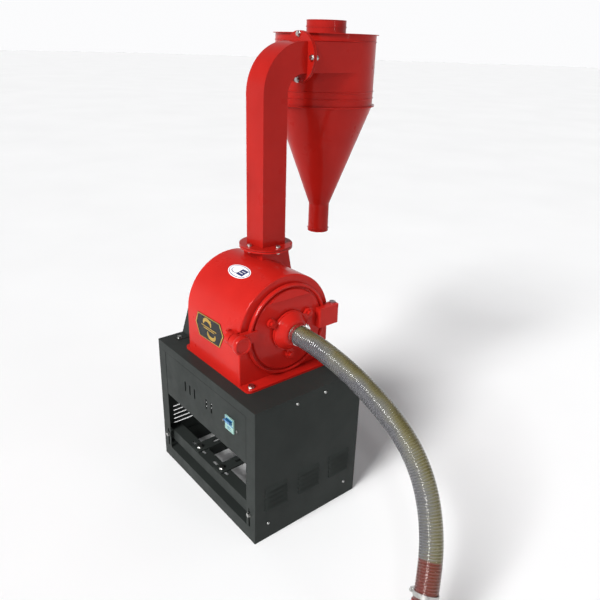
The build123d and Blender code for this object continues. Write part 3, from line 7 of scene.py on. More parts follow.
# Looks for the hammer mill. Metres, in the CAD's frame: shaft along Y, feed door toward -Y,
# cyclone toward +X, floor at z = 0.
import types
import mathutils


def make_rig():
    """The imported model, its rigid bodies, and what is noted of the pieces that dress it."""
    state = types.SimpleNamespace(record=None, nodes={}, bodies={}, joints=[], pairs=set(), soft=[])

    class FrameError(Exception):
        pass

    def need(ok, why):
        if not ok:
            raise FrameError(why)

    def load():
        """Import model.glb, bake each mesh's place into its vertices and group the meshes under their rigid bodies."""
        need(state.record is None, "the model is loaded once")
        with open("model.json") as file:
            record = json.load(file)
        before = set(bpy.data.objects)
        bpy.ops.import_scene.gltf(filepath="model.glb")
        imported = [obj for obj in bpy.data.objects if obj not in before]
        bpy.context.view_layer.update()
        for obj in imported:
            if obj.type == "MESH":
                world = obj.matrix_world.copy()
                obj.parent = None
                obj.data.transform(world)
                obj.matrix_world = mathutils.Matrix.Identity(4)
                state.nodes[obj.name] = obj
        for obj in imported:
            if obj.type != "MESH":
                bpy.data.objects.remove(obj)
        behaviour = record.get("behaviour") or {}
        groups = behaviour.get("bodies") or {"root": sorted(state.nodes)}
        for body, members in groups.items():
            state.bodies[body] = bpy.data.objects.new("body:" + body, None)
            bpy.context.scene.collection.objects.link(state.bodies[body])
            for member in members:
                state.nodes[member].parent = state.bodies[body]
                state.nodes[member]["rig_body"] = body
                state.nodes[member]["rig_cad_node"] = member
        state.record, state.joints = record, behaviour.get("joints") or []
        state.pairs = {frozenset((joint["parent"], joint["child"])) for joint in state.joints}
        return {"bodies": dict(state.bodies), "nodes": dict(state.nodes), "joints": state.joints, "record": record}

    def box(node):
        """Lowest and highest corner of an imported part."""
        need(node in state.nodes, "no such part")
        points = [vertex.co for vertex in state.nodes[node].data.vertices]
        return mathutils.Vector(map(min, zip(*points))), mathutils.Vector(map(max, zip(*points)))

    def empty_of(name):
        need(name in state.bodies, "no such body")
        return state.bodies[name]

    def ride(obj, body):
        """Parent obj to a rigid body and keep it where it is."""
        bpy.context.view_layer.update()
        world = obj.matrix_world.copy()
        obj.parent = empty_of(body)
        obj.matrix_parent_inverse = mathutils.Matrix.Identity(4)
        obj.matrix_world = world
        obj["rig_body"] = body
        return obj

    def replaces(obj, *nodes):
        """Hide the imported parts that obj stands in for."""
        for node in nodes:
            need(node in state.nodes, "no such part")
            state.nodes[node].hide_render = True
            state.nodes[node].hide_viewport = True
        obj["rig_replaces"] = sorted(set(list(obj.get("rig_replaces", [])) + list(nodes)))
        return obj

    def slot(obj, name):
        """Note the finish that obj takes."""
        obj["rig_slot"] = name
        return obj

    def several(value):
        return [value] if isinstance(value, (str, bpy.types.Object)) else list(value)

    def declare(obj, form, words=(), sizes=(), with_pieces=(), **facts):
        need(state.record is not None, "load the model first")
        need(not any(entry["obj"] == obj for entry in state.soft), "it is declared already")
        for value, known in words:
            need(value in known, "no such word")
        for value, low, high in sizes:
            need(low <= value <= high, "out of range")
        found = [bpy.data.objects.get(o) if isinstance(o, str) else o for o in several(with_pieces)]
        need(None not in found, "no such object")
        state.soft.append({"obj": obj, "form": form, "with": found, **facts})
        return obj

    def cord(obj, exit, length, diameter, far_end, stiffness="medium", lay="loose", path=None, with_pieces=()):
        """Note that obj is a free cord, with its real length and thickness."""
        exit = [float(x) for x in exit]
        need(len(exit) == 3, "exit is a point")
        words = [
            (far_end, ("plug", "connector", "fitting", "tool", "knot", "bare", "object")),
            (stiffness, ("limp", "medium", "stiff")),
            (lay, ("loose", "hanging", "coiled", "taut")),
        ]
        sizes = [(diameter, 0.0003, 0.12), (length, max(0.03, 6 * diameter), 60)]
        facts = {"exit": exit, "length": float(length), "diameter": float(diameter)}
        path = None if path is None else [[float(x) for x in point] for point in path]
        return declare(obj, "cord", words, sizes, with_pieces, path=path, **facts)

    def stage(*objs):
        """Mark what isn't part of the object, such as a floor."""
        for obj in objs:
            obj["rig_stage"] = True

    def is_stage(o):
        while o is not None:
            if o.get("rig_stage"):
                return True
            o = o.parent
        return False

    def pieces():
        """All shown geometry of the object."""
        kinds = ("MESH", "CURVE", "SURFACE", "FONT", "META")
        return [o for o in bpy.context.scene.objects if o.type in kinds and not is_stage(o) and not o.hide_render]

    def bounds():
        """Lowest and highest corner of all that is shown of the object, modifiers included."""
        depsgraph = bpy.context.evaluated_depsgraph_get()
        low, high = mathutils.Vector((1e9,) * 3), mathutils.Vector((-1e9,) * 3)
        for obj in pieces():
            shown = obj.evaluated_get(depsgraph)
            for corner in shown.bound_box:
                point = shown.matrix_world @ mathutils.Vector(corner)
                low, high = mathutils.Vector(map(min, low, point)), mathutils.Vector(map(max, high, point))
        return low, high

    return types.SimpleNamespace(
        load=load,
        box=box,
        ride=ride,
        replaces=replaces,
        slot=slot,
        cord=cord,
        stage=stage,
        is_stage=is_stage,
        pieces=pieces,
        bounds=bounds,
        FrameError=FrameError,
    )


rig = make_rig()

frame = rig.load()
cad_low, cad_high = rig.bounds()
cad_bounds = [list(cad_low), list(cad_high)]
scene = bpy.context.scene

# the mill shaft's X and Z, and the cyclone axis's X and Y
SHAFT_X, SHAFT_Z = 0.005, 0.635
CYCLONE_X, CYCLONE_Y = 0.406, 0.174
UP = (0, 0, 1)

# ---------------------------------------------------------------- camera

YAW, PITCH, ROLL = math.radians(-39.978), math.radians(-23.293), math.radians(1.816)
CAMERA_PLACE = (-1.0269, -1.4447, 1.4411)
FOCAL_PX = 598.4
IMAGE_PX = 600.0
SENSOR_MM = 36.0


def make_camera():
    """The photograph's viewpoint, from the -X -Y side and above."""
    level = math.cos(PITCH)
    forward = Vector((-math.sin(YAW) * level, math.cos(YAW) * level, math.sin(PITCH)))
    right = forward.cross(Vector(UP)).normalized()
    up = right.cross(forward)
    turned_right = right * math.cos(ROLL) + up * math.sin(ROLL)
    turned_up = up * math.cos(ROLL) - right * math.sin(ROLL)
    data = bpy.data.cameras.new("camera")
    data.sensor_width = SENSOR_MM
    data.lens = FOCAL_PX / IMAGE_PX * SENSOR_MM
    data.clip_end = 60.0
    camera = bpy.data.objects.new("camera", data)
    scene.collection.objects.link(camera)
    turn = Matrix((turned_right, turned_up, -forward)).transposed().to_4x4()
    camera.matrix_world = Matrix.Translation(CAMERA_PLACE) @ turn
    scene.camera = camera


make_camera()

# ---------------------------------------------------------------- materials


class Nodes:
    """Short way to build a material's node tree."""

    def __init__(self, name):
        self.material = bpy.data.materials.new(name)
        self.material.use_nodes = True
        self.tree = self.material.node_tree
        self.tree.nodes.clear()
        self.out = self.tree.nodes.new("ShaderNodeOutputMaterial")
        self.shader = self.tree.nodes.new("ShaderNodeBsdfPrincipled")
        self.tree.links.new(self.shader.outputs[0], self.out.inputs[0])
        self.place = self.tree.nodes.new("ShaderNodeTexCoord").outputs["Object"]

    def set(self, **values):
        for key, value in values.items():
            self.shader.inputs[key.replace("_", " ")].default_value = value

    def link(self, socket, name):
        self.tree.links.new(socket, self.shader.inputs[name])

    def noise(self, scale, detail=4.0, rough=0.55, stretch=None):
        node = self.tree.nodes.new("ShaderNodeTexNoise")
        node.inputs["Scale"].default_value = scale
        node.inputs["Detail"].default_value = detail
        node.inputs["Roughness"].default_value = rough
        place = self.place
        if stretch:
            mapping = self.tree.nodes.new("ShaderNodeMapping")
            mapping.inputs["Scale"].default_value = stretch
            self.tree.links.new(place, mapping.inputs["Vector"])
            place = mapping.outputs[0]
        self.tree.links.new(place, node.inputs["Vector"])
        return node.outputs["Fac"]

    def ramp(self, factor, stops):
        node = self.tree.nodes.new("ShaderNodeValToRGB")
        elements = node.color_ramp.elements
        while len(elements) < len(stops):
            elements.new(0.5)
        for element, (position, colour) in zip(elements, stops):
            element.position = position
            element.color = (*colour, 1.0)
        self.tree.links.new(factor, node.inputs["Fac"])
        return node.outputs["Color"]

    def spread(self, factor, low, high, start=0.3, stop=0.7):
        node = self.tree.nodes.new("ShaderNodeMapRange")
        node.inputs["From Min"].default_value = start
        node.inputs["From Max"].default_value = stop
        node.inputs["To Min"].default_value = low
        node.inputs["To Max"].default_value = high
        self.tree.links.new(factor, node.inputs["Value"])
        return node.outputs["Result"]

    def bump(self, *layers):
        normal = None
        for height, strength, distance in layers:
            node = self.tree.nodes.new("ShaderNodeBump")
            node.inputs["Strength"].default_value = strength
            node.inputs["Distance"].default_value = distance
            self.tree.links.new(height, node.inputs["Height"])
            if normal:
                self.tree.links.new(normal, node.inputs["Normal"])
            normal = node.outputs["Normal"]
        self.link(normal, "Normal")


def red_enamel(name, cast):
    """Glossy sprayed red enamel: orange peel, faint tone changes, and a cast skin under it; the sheet version is the
    same paint made darker as painted shade.
    """
    n = Nodes(name)
    tone = n.noise(5.0, 5.0)
    if cast:
        low, high = (0.41, 0.010, 0.007), (0.50, 0.015, 0.010)
    # the sheet enamel is the cast red made darker: painted shade for the darker look of the cyclone and duct
    else:
        low, high = (0.32, 0.008, 0.005), (0.40, 0.012, 0.008)
    n.link(n.ramp(tone, [(0.30, low), (0.72, high)]), "Base Color")
    n.link(n.spread(n.noise(16.0, 2.0), 0.27, 0.33), "Roughness")
    n.set(Coat_Weight=0.16, Coat_Roughness=0.04, Specular_IOR_Level=0.08 if cast else 0.05)
    peel = n.noise(420.0, 2.0)
    if cast:
        n.bump((n.noise(30.0, 2.0), 0.08, 0.0010), (peel, 0.08, 0.0003))
    else:
        n.bump((n.noise(14.0, 2.0), 0.10, 0.0020), (peel, 0.06, 0.0003))
    return n.material


def powder_coat(name, shade):
    """Dark satin powder coat with a fine texture and faint handling marks."""
    n = Nodes(name)
    tone = n.noise(7.0, 6.0)
    low = tuple(0.82 * c for c in shade)
    n.link(n.ramp(tone, [(0.32, low), (0.70, shade)]), "Base Color")
    n.link(n.spread(n.noise(22.0, 5.0), 0.36, 0.52), "Roughness")
    n.set(Specular_IOR_Level=0.07)
    n.bump((n.noise(9.0, 2.0), 0.10, 0.0025), (n.noise(900.0, 2.0), 0.10, 0.0003))
    return n.material


def bare_metal(name, dark, light, rough, brushed=None):
    """Plated or machined steel."""
    n = Nodes(name)
    n.link(n.ramp(n.noise(60.0, 5.0), [(0.3, dark), (0.72, light)]), "Base Color")
    n.link(n.spread(n.noise(140.0, 4.0, stretch=brushed), rough - 0.07, rough + 0.09), "Roughness")
    n.set(Metallic=1.0)
    n.bump((n.noise(500.0, 3.0, stretch=brushed), 0.12, 0.0002))
    return n.material


def moulding(name, dark, light, rough, coat=0.0, gloss=0.5):
    """Moulded plastic, rubber or printed film."""
    n = Nodes(name)
    n.link(n.ramp(n.noise(30.0, 4.0), [(0.3, dark), (0.7, light)]), "Base Color")
    n.link(n.spread(n.noise(90.0, 3.0), rough - 0.05, rough + 0.06), "Roughness")
    n.set(Coat_Weight=coat, Coat_Roughness=0.1, Specular_IOR_Level=gloss)
    n.bump((n.noise(600.0, 2.0), 0.08, 0.0002))
    return n.material


# the hose's straight end over the nozzle's red spigot, as a direction and a distance along it
SPIGOT_AXIS = Vector((-0.036, -0.022, -0.067)).normalized()
SPIGOT_FROM = Vector((-0.0450, -0.8130, 0.2720)).dot(SPIGOT_AXIS)
SPIGOT_BLEND = 0.003


def hose_plastic_painted_light():
    """Clear hose wall with painted light: its tint follows the way the wall faces, olive-gold on the upper side and
    grey on the under side, standing in for how light falls; brick red over the spigot.
    """
    n = Nodes("hose_wall")
    tree = n.tree

    def dot(vector, direction):
        node = tree.nodes.new("ShaderNodeVectorMath")
        node.operation = "DOT_PRODUCT"
        node.inputs[1].default_value = direction
        tree.links.new(vector, node.inputs[0])
        return node.outputs["Value"]

    normal = tree.nodes.new("ShaderNodeTexCoord").outputs["Normal"]
    # painted light and shade: a ramp over which way the wall faces (up and toward +X), lightly broken by noise
    across = n.spread(dot(normal, (0.78, -0.10, 0.60)), 0.0, 1.0, -0.75, 0.80)
    painted_side_light_and_cloud = tree.nodes.new("ShaderNodeMath")
    painted_side_light_and_cloud.operation = "ADD"
    tree.links.new(across, painted_side_light_and_cloud.inputs[0])
    tree.links.new(n.spread(n.noise(8.0, 2.0), -0.26, 0.26), painted_side_light_and_cloud.inputs[1])
    stops = [
        (0.10, (0.125, 0.125, 0.135)),
        (0.42, (0.200, 0.195, 0.160)),
        (0.68, (0.200, 0.178, 0.080)),
        (0.92, (0.140, 0.118, 0.040)),
    ]
    wall = n.ramp(painted_side_light_and_cloud.outputs[0], stops)
    mix = tree.nodes.new("ShaderNodeMix")
    mix.data_type = "RGBA"
    mix.inputs["B"].default_value = (0.17, 0.028, 0.018, 1.0)
    along = dot(n.place, tuple(SPIGOT_AXIS))
    tint = n.spread(along, 0.0, 0.86, SPIGOT_FROM, SPIGOT_FROM + SPIGOT_BLEND)
    tree.links.new(tint, mix.inputs["Factor"])
    tree.links.new(wall, mix.inputs["A"])
    n.link(mix.outputs["Result"], "Base Color")
    n.link(n.spread(n.noise(50.0, 3.0), 0.10, 0.18), "Roughness")
    n.set(Alpha=0.62, Coat_Weight=0.35, Coat_Roughness=0.04, Specular_IOR_Level=0.35)
    n.bump((n.noise(40.0, 2.0), 0.05, 0.0006))
    return n.material


RED_CAST = red_enamel("red_cast_enamel", True)
# sheet red: the same paint as the cast red, darkened as painted shade
RED_SHEET_PAINTED_SHADE = red_enamel("red_sheet_enamel", False)
GREY = powder_coat("grey_powder_coat", (0.027, 0.031, 0.029))
ZINC = bare_metal("zinc_plate", (0.36, 0.36, 0.35), (0.60, 0.60, 0.58), 0.30)
STEEL = bare_metal("machined_steel", (0.34, 0.34, 0.35), (0.52, 0.52, 0.52), 0.34)
DARK_STEEL = bare_metal("dark_steel", (0.10, 0.10, 0.10), (0.17, 0.165, 0.16), 0.45)
WIRE = bare_metal("hose_wire", (0.05, 0.05, 0.05), (0.10, 0.10, 0.09), 0.32)
ZINC_BRIGHT = bare_metal("bright_zinc", (0.60, 0.60, 0.59), (0.84, 0.84, 0.82), 0.22)
ZINC_DULL = bare_metal("dull_zinc", (0.20, 0.205, 0.20), (0.34, 0.34, 0.33), 0.42)
RUBBER = moulding("gasket_rubber", (0.012, 0.012, 0.012), (0.022, 0.022, 0.022), 0.65, 0.0, 0.2)
SHELL = moulding("breaker_shell", (0.20, 0.36, 0.32), (0.28, 0.44, 0.39), 0.42)
BLUE = moulding("breaker_blue", (0.02, 0.10, 0.26), (0.03, 0.16, 0.36), 0.25, 0.4)
PALE_BLUE = moulding("breaker_window", (0.06, 0.20, 0.34), (0.10, 0.28, 0.42), 0.20, 0.5)
BLACK = moulding("badge_black", (0.010, 0.010, 0.011), (0.020, 0.020, 0.020), 0.30, 0.06, 0.12)
GOLD = bare_metal("badge_gold", (0.55, 0.34, 0.06), (0.72, 0.48, 0.12), 0.30)
WHITE = moulding("sticker_white", (0.86, 0.86, 0.88), (0.93, 0.93, 0.94), 0.20, 0.5)
INK = moulding("sticker_ink", (0.016, 0.022, 0.085), (0.028, 0.036, 0.13), 0.25, 0.4)
INK_PALE = moulding("sticker_ink_pale", (0.16, 0.17, 0.27), (0.22, 0.23, 0.34), 0.25, 0.4)

# the hand nut is declared as plastic in the record and looks painted in the photograph
BY_SLOT = {
    "red_cast": RED_CAST,
    "red_sheet": RED_SHEET_PAINTED_SHADE,
    "grey_sheet": GREY,
    "dark_plastic": RED_CAST,
    "zinc": ZINC,
    "steel": STEEL,
    "dark_steel": DARK_STEEL,
    "rubber": RUBBER,
    "breaker_shell": SHELL,
    "breaker_blue": BLUE,
    "badge": BLACK,
    "sticker": WHITE,
}
BY_NODE = {"panel_screws": ZINC_DULL, "inlet_clamp": ZINC_BRIGHT}


def finish_cad_nodes():
    """Give every CAD node that stays in view its procedural finish."""
    for entry in frame["record"]["subparts"]:
        material = BY_NODE.get(entry["node"], BY_SLOT.get(entry["material_slot"]))
        if material:
            for slot in frame["nodes"][entry["node"]].material_slots:
                slot.material = material


finish_cad_nodes()

# ---------------------------------------------------------------- mesh helpers


def add_piece(name, mesh, material, body, slot, smooth=True):
    """Put a mesh in the scene as a visible piece that rides on a body."""
    if smooth:
        for polygon in mesh.polygons:
            polygon.use_smooth = True
    mesh.materials.append(material)
    piece = bpy.data.objects.new(name, mesh)
    scene.collection.objects.link(piece)
    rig.ride(piece, body)
    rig.slot(piece, slot)
    return piece


def new_object(name, verts, faces, material, body, slot, smooth=True):
    """A mesh piece from points and faces, with its normals turned outward."""
    mesh = bpy.data.meshes.new(name)
    mesh.from_pydata([tuple(v) for v in verts], [], faces)
    mesh.validate()
    work = bmesh.new()
    work.from_mesh(mesh)
    bmesh.ops.recalc_face_normals(work, faces=list(work.faces))
    work.to_mesh(mesh)
    work.free()
    return add_piece(name, mesh, material, body, slot, smooth)


def curve_points(points, resolution=24):
    """The route's NURBS spline as evenly spaced points."""
    data = bpy.data.curves.new("route", "CURVE")
    data.dimensions = "3D"
    spline = data.splines.new("NURBS")
    spline.points.add(len(points) - 1)
    for place, point in zip(spline.points, points):
        place.co = (*point, 1.0)
    spline.order_u = 3
    spline.use_endpoint_u = True
    spline.resolution_u = resolution
    carrier = bpy.data.objects.new("route", data)
    scene.collection.objects.link(carrier)
    bpy.context.view_layer.update()
    mesh = bpy.data.meshes.new_from_object(carrier)
    line = [v.co.copy() for v in mesh.vertices]
    bpy.data.objects.remove(carrier)
    bpy.data.curves.remove(data)
    bpy.data.meshes.remove(mesh)
    return line


def even_steps(line, step):
    """The same line, resampled to equal steps no longer than the one given."""
    lengths = [0.0]
    for a, b in zip(line, line[1:]):
        lengths.append(lengths[-1] + (b - a).length)
    count = max(2, math.ceil(lengths[-1] / step))
    places, i = [], 0
    for k in range(count + 1):
        want = lengths[-1] * k / count
        while i < len(line) - 2 and lengths[i + 1] < want:
            i += 1
        span = lengths[i + 1] - lengths[i]
        places.append(line[i].lerp(line[i + 1], (want - lengths[i]) / span if span else 0.0))
    return places, lengths[-1]


def frames_along(line):
    """Directions across the line at each point, turned as little as possible."""
    tangents = []
    for i in range(len(line)):
        a, b = line[max(i - 1, 0)], line[min(i + 1, len(line) - 1)]
        tangents.append((b - a).normalized())
    side = tangents[0].cross(Vector(UP)).normalized()
    frames = []
    for tangent in tangents:
        side = (side - tangent * side.dot(tangent)).normalized()
        frames.append((side.copy(), tangent.cross(side)))
    return frames


def tube(line, radii_outer, radius_inner=None, sides=48):
    """Closed tube along a line: an outer radius per point, a number or a function of the
    angle round the line, and an inner wall if asked for."""
    frames = frames_along(line)
    walls = [radii_outer]
    if radius_inner is not None:
        walls.append([radius_inner] * len(line))
    verts, faces = [], []
    for radii in walls:
        for point, (side, up), radius in zip(line, frames, radii):
            for k in range(sides):
                turn = 2 * math.pi * k / sides
                reach = radius(turn) if callable(radius) else radius
                verts.append(point + (side * math.cos(turn) + up * math.sin(turn)) * reach)
    rows = len(line)
    for wall in range(len(walls)):
        base = wall * rows * sides
        for i in range(rows - 1):
            for k in range(sides):
                a = base + i * sides + k
                b = base + i * sides + (k + 1) % sides
                quad = (a, b, b + sides, a + sides)
                faces.append(quad if wall == 0 else quad[::-1])
    for end in (0, rows - 1):
        ring = [end * sides + k for k in range(sides)]
        if radius_inner is None:
            faces.append(ring[::-1] if end == 0 else ring)
        else:
            inner = [rows * sides + end * sides + k for k in range(sides)]
            for k in range(sides):
                j = (k + 1) % sides
                quad = (ring[k], ring[j], inner[j], inner[k])
                faces.append(quad[::-1] if end == 0 else quad)
    return verts, faces


# ---------------------------------------------------------------- suction hose

HOSE_ROUTE = [
    (0.005, -0.203, 0.635),
    (0.005, -0.279, 0.635),
    (0.009, -0.355, 0.622),
    (0.017, -0.434, 0.599),
    (0.022, -0.506, 0.569),
    (0.027, -0.576, 0.533),
    (0.028, -0.641, 0.491),
    (0.021, -0.698, 0.441),
    (0.004, -0.747, 0.384),
    (-0.022, -0.788, 0.321),
    (-0.054, -0.820, 0.253),
    (-0.090, -0.842, 0.186),
]
HOSE_R = 0.031
HOSE_WALL = 0.005
WIRE_PITCH = 0.0075
WIRE_R = 0.0013
WIRE_DEEP = 0.0024
WIRE_STEPS = 28
SWELL = 0.0011


def make_hose():
    """Clear tube whose wall swells in a spiral over the steel wire wound inside it."""
    line, length = even_steps(curve_points(HOSE_ROUTE), WIRE_PITCH / 8)
    step = length / (len(line) - 1)

    def over_wire(along):
        wound = 2 * math.pi * along / WIRE_PITCH
        return lambda turn: HOSE_R - SWELL * (0.5 - 0.5 * math.cos(wound - turn))

    radii = [over_wire(i * step) for i in range(len(line))]
    shell = tube(line, radii, HOSE_R - HOSE_WALL, 40)
    wall = new_object("hose_wall", *shell, hose_plastic_painted_light(), "door", "hose")

    frames = frames_along(line)
    helix = []
    for k in range(int(WIRE_STEPS * 0.5), int(WIRE_STEPS * (length / WIRE_PITCH - 0.5))):
        along = WIRE_PITCH * k / WIRE_STEPS
        i = min(int(along / step), len(line) - 2)
        part = along / step - i
        point = line[i].lerp(line[i + 1], part)
        side = frames[i][0].lerp(frames[i + 1][0], part)
        up = frames[i][1].lerp(frames[i + 1][1], part)
        turn = 2 * math.pi * k / WIRE_STEPS
        out = side * math.cos(turn) + up * math.sin(turn)
        helix.append(point + out * (HOSE_R - WIRE_DEEP))
    coil = tube(helix, [WIRE_R] * len(helix), None, 8)
    wire = new_object("hose_wire", *coil, WIRE, "door", "zinc")
    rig.replaces(wall, "suction_hose")
    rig.cord(
        wall,
        exit=HOSE_ROUTE[0],
        length=0.863,
        diameter=2 * HOSE_R,
        far_end="fitting",
        stiffness="stiff",
        lay="hanging",
        path=line,
        with_pieces=[wire, "inlet_clamp", "nozzle_clamp", "suction_nozzle", "air_sleeve"],
    )


make_hose()

# ---------------------------------------------------------------- plates and badges


def loop_points(count, radius_u, radius_v):
    """Points round an ellipse."""
    turns = [2 * math.pi * k / count for k in range(count)]
    return [(radius_u * math.cos(turn), radius_v * math.sin(turn)) for turn in turns]


def raised(outline, place, thickness, hole=None):
    """Closed thin plate over a flat outline, its top edge drawn in; place maps (u, v, height)."""
    rings = [(0.0, 1.0), (0.6 * thickness, 1.0), (thickness, 0.985)]
    n = len(outline)
    middle = (sum(u for u, _ in outline) / n, sum(v for _, v in outline) / n)
    verts, faces = [], []
    for height, scale in rings:
        for u, v in outline:
            near_u = middle[0] + (u - middle[0]) * scale
            near_v = middle[1] + (v - middle[1]) * scale
            verts.append(place(near_u, near_v, height))
    for r in range(len(rings) - 1):
        for k in range(n):
            j = (k + 1) % n
            faces.append((r * n + k, r * n + j, (r + 1) * n + j, (r + 1) * n + k))
    if hole is None:
        faces.append([2 * n + k for k in range(n)])
        faces.append(list(reversed(range(n))))
        return verts, faces
    base = len(verts)
    for height in (thickness, 0.0):
        for u, v in hole:
            verts.append(place(u, v, height))
    for k in range(n):
        j = (k + 1) % n
        faces.append((2 * n + k, 2 * n + j, base + j, base + k))
        faces.append((base + k, base + j, base + n + j, base + n + k))
        faces.append((base + n + k, base + n + j, j, k))
    return verts, faces


def arc_band(radius, width, start, sweep, count=28, squash=1.0, centre=(0.0, 0.0)):
    """Outline of a curved band that narrows to its ends."""
    u, v = centre
    outer, inner = [], []
    for k in range(count + 1):
        part = k / count
        turn = start + sweep * part
        half = width * (0.20 + 0.80 * math.sin(math.pi * part)) / 2
        for radii, points in ((radius + half, outer), (radius - half, inner)):
            points.append((u + radii * math.cos(turn), v + squash * radii * math.sin(turn)))
    return outer + inner[::-1]


def make_badge():
    """Gold edge and a plain emblem of two arcs and two bars."""
    corners = [
        (0.081, 0.651), (-0.048, 0.655), (-0.069, 0.620),
        (-0.044, 0.572), (0.075, 0.570), (0.097, 0.613),
    ]
    middle = (0.014, 0.6125)
    face_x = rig.box("name_badge")[0][0]

    def place(u, v, height):
        return Vector((face_x - height, u, v))

    def inset(scale):
        edge = []
        for (u, v), (u2, v2) in zip(corners, corners[1:] + corners[:1]):
            for part in (0.0, 0.25, 0.5, 0.75):
                a = u + (u2 - u) * part
                b = v + (v2 - v) * part
                near_u = middle[0] + (a - middle[0]) * scale
                edge.append((near_u, middle[1] + (b - middle[1]) * scale))
        return edge

    border = raised(inset(0.985), place, 0.0007, inset(0.925))
    new_object("badge_border", *border, GOLD, "stand", "badge", smooth=False)
    shapes = [
        arc_band(0.0215, 0.017, math.radians(start), math.radians(200), squash=0.72, centre=centre)
        for start, centre in ((-10, (0.026, 0.6250)), (170, (0.002, 0.5995)))
    ]
    tall, lean = 0.0016, 0.002
    for du, dv, half in ((0.003, 0.0035, 0.044), (0.002, -0.0030, 0.032)):
        u, v = middle[0] + du, middle[1] + dv
        low_edge = [(u - half, v - tall), (u - half + lean, v + tall)]
        shapes.append(low_edge + [(u + half, v + tall), (u + half - lean, v - tall)])
    for k, outline in enumerate(shapes):
        mark = raised(outline, place, 0.0006)
        new_object(f"badge_mark_{k}", *mark, GOLD, "stand", "badge", smooth=False)


def make_sticker():
    """Grey line near the oval's edge and a plain two-tone emblem."""
    tilt = math.radians(115)
    radius = 0.1725
    centre_y = -0.007

    def place(u, v, height):
        turn = tilt + math.asin(v / radius)
        reach = radius + height
        x, z = SHAFT_X + reach * math.cos(turn), SHAFT_Z + reach * math.sin(turn)
        return Vector((x, centre_y + u, z))

    inside = loop_points(64, 0.0458, 0.0206)
    edge = raised(loop_points(64, 0.0488, 0.0234), place, 0.0003, inside)
    new_object("sticker_line", *edge, INK_PALE, "stand", "sticker")
    # the block is built in rows that follow the casing's curve
    rows = 9
    verts, faces = [], []
    for height in (0.0, 0.0003):
        for k in range(rows):
            part = k / (rows - 1)
            v = -0.013 + 0.026 * part
            verts.append(place(-0.036 + 0.006 * part, v, height))
            verts.append(place(0.005 * part - 0.004, v, height))
    top = 2 * rows
    for k in range(rows - 1):
        a = 2 * k
        faces += [(a, a + 1, a + 3, a + 2), (top + a, top + a + 2, top + a + 3, top + a + 1)]
        faces += [(a, a + 2, top + a + 2, top + a), (a + 1, top + a + 1, top + a + 3, a + 3)]
    last = 2 * rows - 1
    faces += [(0, top, top + 1, 1), (last - 1, last, top + last, top + last - 1)]
    new_object("sticker_block", verts, faces, INK, "stand", "sticker", smooth=False)
    tall = 0.0009
    for k, (u, v) in enumerate([(-0.014, 0.004), (-0.019, -0.004)]):
        upper = [(u + 0.009, v + tall), (u - 0.009, v + tall)]
        bar = raised(upper + [(u - 0.0095, v - tall), (u + 0.0085, v - tall)], place, 0.0005)
        new_object(f"sticker_bar_{k}", *bar, WHITE, "stand", "sticker", smooth=False)
    start, sweep = math.radians(-40), math.radians(215)
    arc = arc_band(0.0200, 0.0045, start, sweep, squash=0.58, centre=(0.016, 0.000))
    new_object("sticker_arc", *raised(arc, place, 0.0003), INK_PALE, "stand", "sticker")


make_badge()
make_sticker()

# ---------------------------------------------------------------- beads, painted seam shadows and small parts


def bead(name, points, radius, body, slot, material, closed=False, wobble=0.18):
    """Weld bead: a slightly uneven, rippled cord of metal laid along a line."""
    path = list(points) + ([points[0]] if closed else [])
    line, _ = even_steps([Vector(p) for p in path], 0.0022)
    radii = []
    for i in range(len(line)):
        ripple = 0.5 * math.sin(2.1 * i) + 0.35 * math.sin(0.37 * i + 1.3)
        ripple = ripple + 0.15 * math.sin(5.3 * i)
        radii.append(radius * (1 + wobble * ripple))
    return new_object(name, *tube(line, radii, None, 10), material, body, slot)


def ring(name, centre, radius, thick, material, body, slot, sides=72, around=12):
    """Rolled bead or rounded edge round an upright axis."""
    axis = Vector(UP)
    side = axis.cross(Vector((0.3, 0.9, 0.2))).normalized()
    up = axis.cross(side)
    verts, faces = [], []
    for i in range(sides):
        turn = 2 * math.pi * i / sides
        out = side * math.cos(turn) + up * math.sin(turn)
        for k in range(around):
            small = 2 * math.pi * k / around
            reach = out * (radius + thick * math.cos(small))
            verts.append(Vector(centre) + reach + axis * (thick * math.sin(small)))
    for i in range(sides):
        for k in range(around):
            j = (k + 1) % around
            here, there = i * around, ((i + 1) % sides) * around
            faces.append((here + k, there + k, there + j, here + j))
    return new_object(name, verts, faces, material, body, slot)


def lathe(name, centre, axis, profile, material, body, slot, sides=72):
    """Turned piece: profile points are (distance along the axis, radius), from end to end."""
    axis = Vector(axis).normalized()
    side = axis.cross(Vector((0.3, 0.2, 0.9))).normalized()
    up = axis.cross(side)
    verts, faces = [], []
    for along, radius in profile:
        for i in range(sides):
            turn = 2 * math.pi * i / sides
            out = side * math.cos(turn) + up * math.sin(turn)
            verts.append(Vector(centre) + axis * along + out * radius)
    for r in range(len(profile) - 1):
        for i in range(sides):
            j = (i + 1) % sides
            faces.append((r * sides + i, r * sides + j, (r + 1) * sides + j, (r + 1) * sides + i))
    faces.append(list(reversed(range(sides))))
    faces.append([(len(profile) - 1) * sides + i for i in range(sides)])
    return new_object(name, verts, faces, material, body, slot)


def square_loop(centre_x, centre_y, half, z):
    """Corners of a level square."""
    return [
        (centre_x - half, centre_y - half, z),
        (centre_x + half, centre_y - half, z),
        (centre_x + half, centre_y + half, z),
        (centre_x - half, centre_y + half, z),
    ]


DUCT_MIDDLE = (0.075, 0.051)
EXHAUST_WELD_R = 0.0665


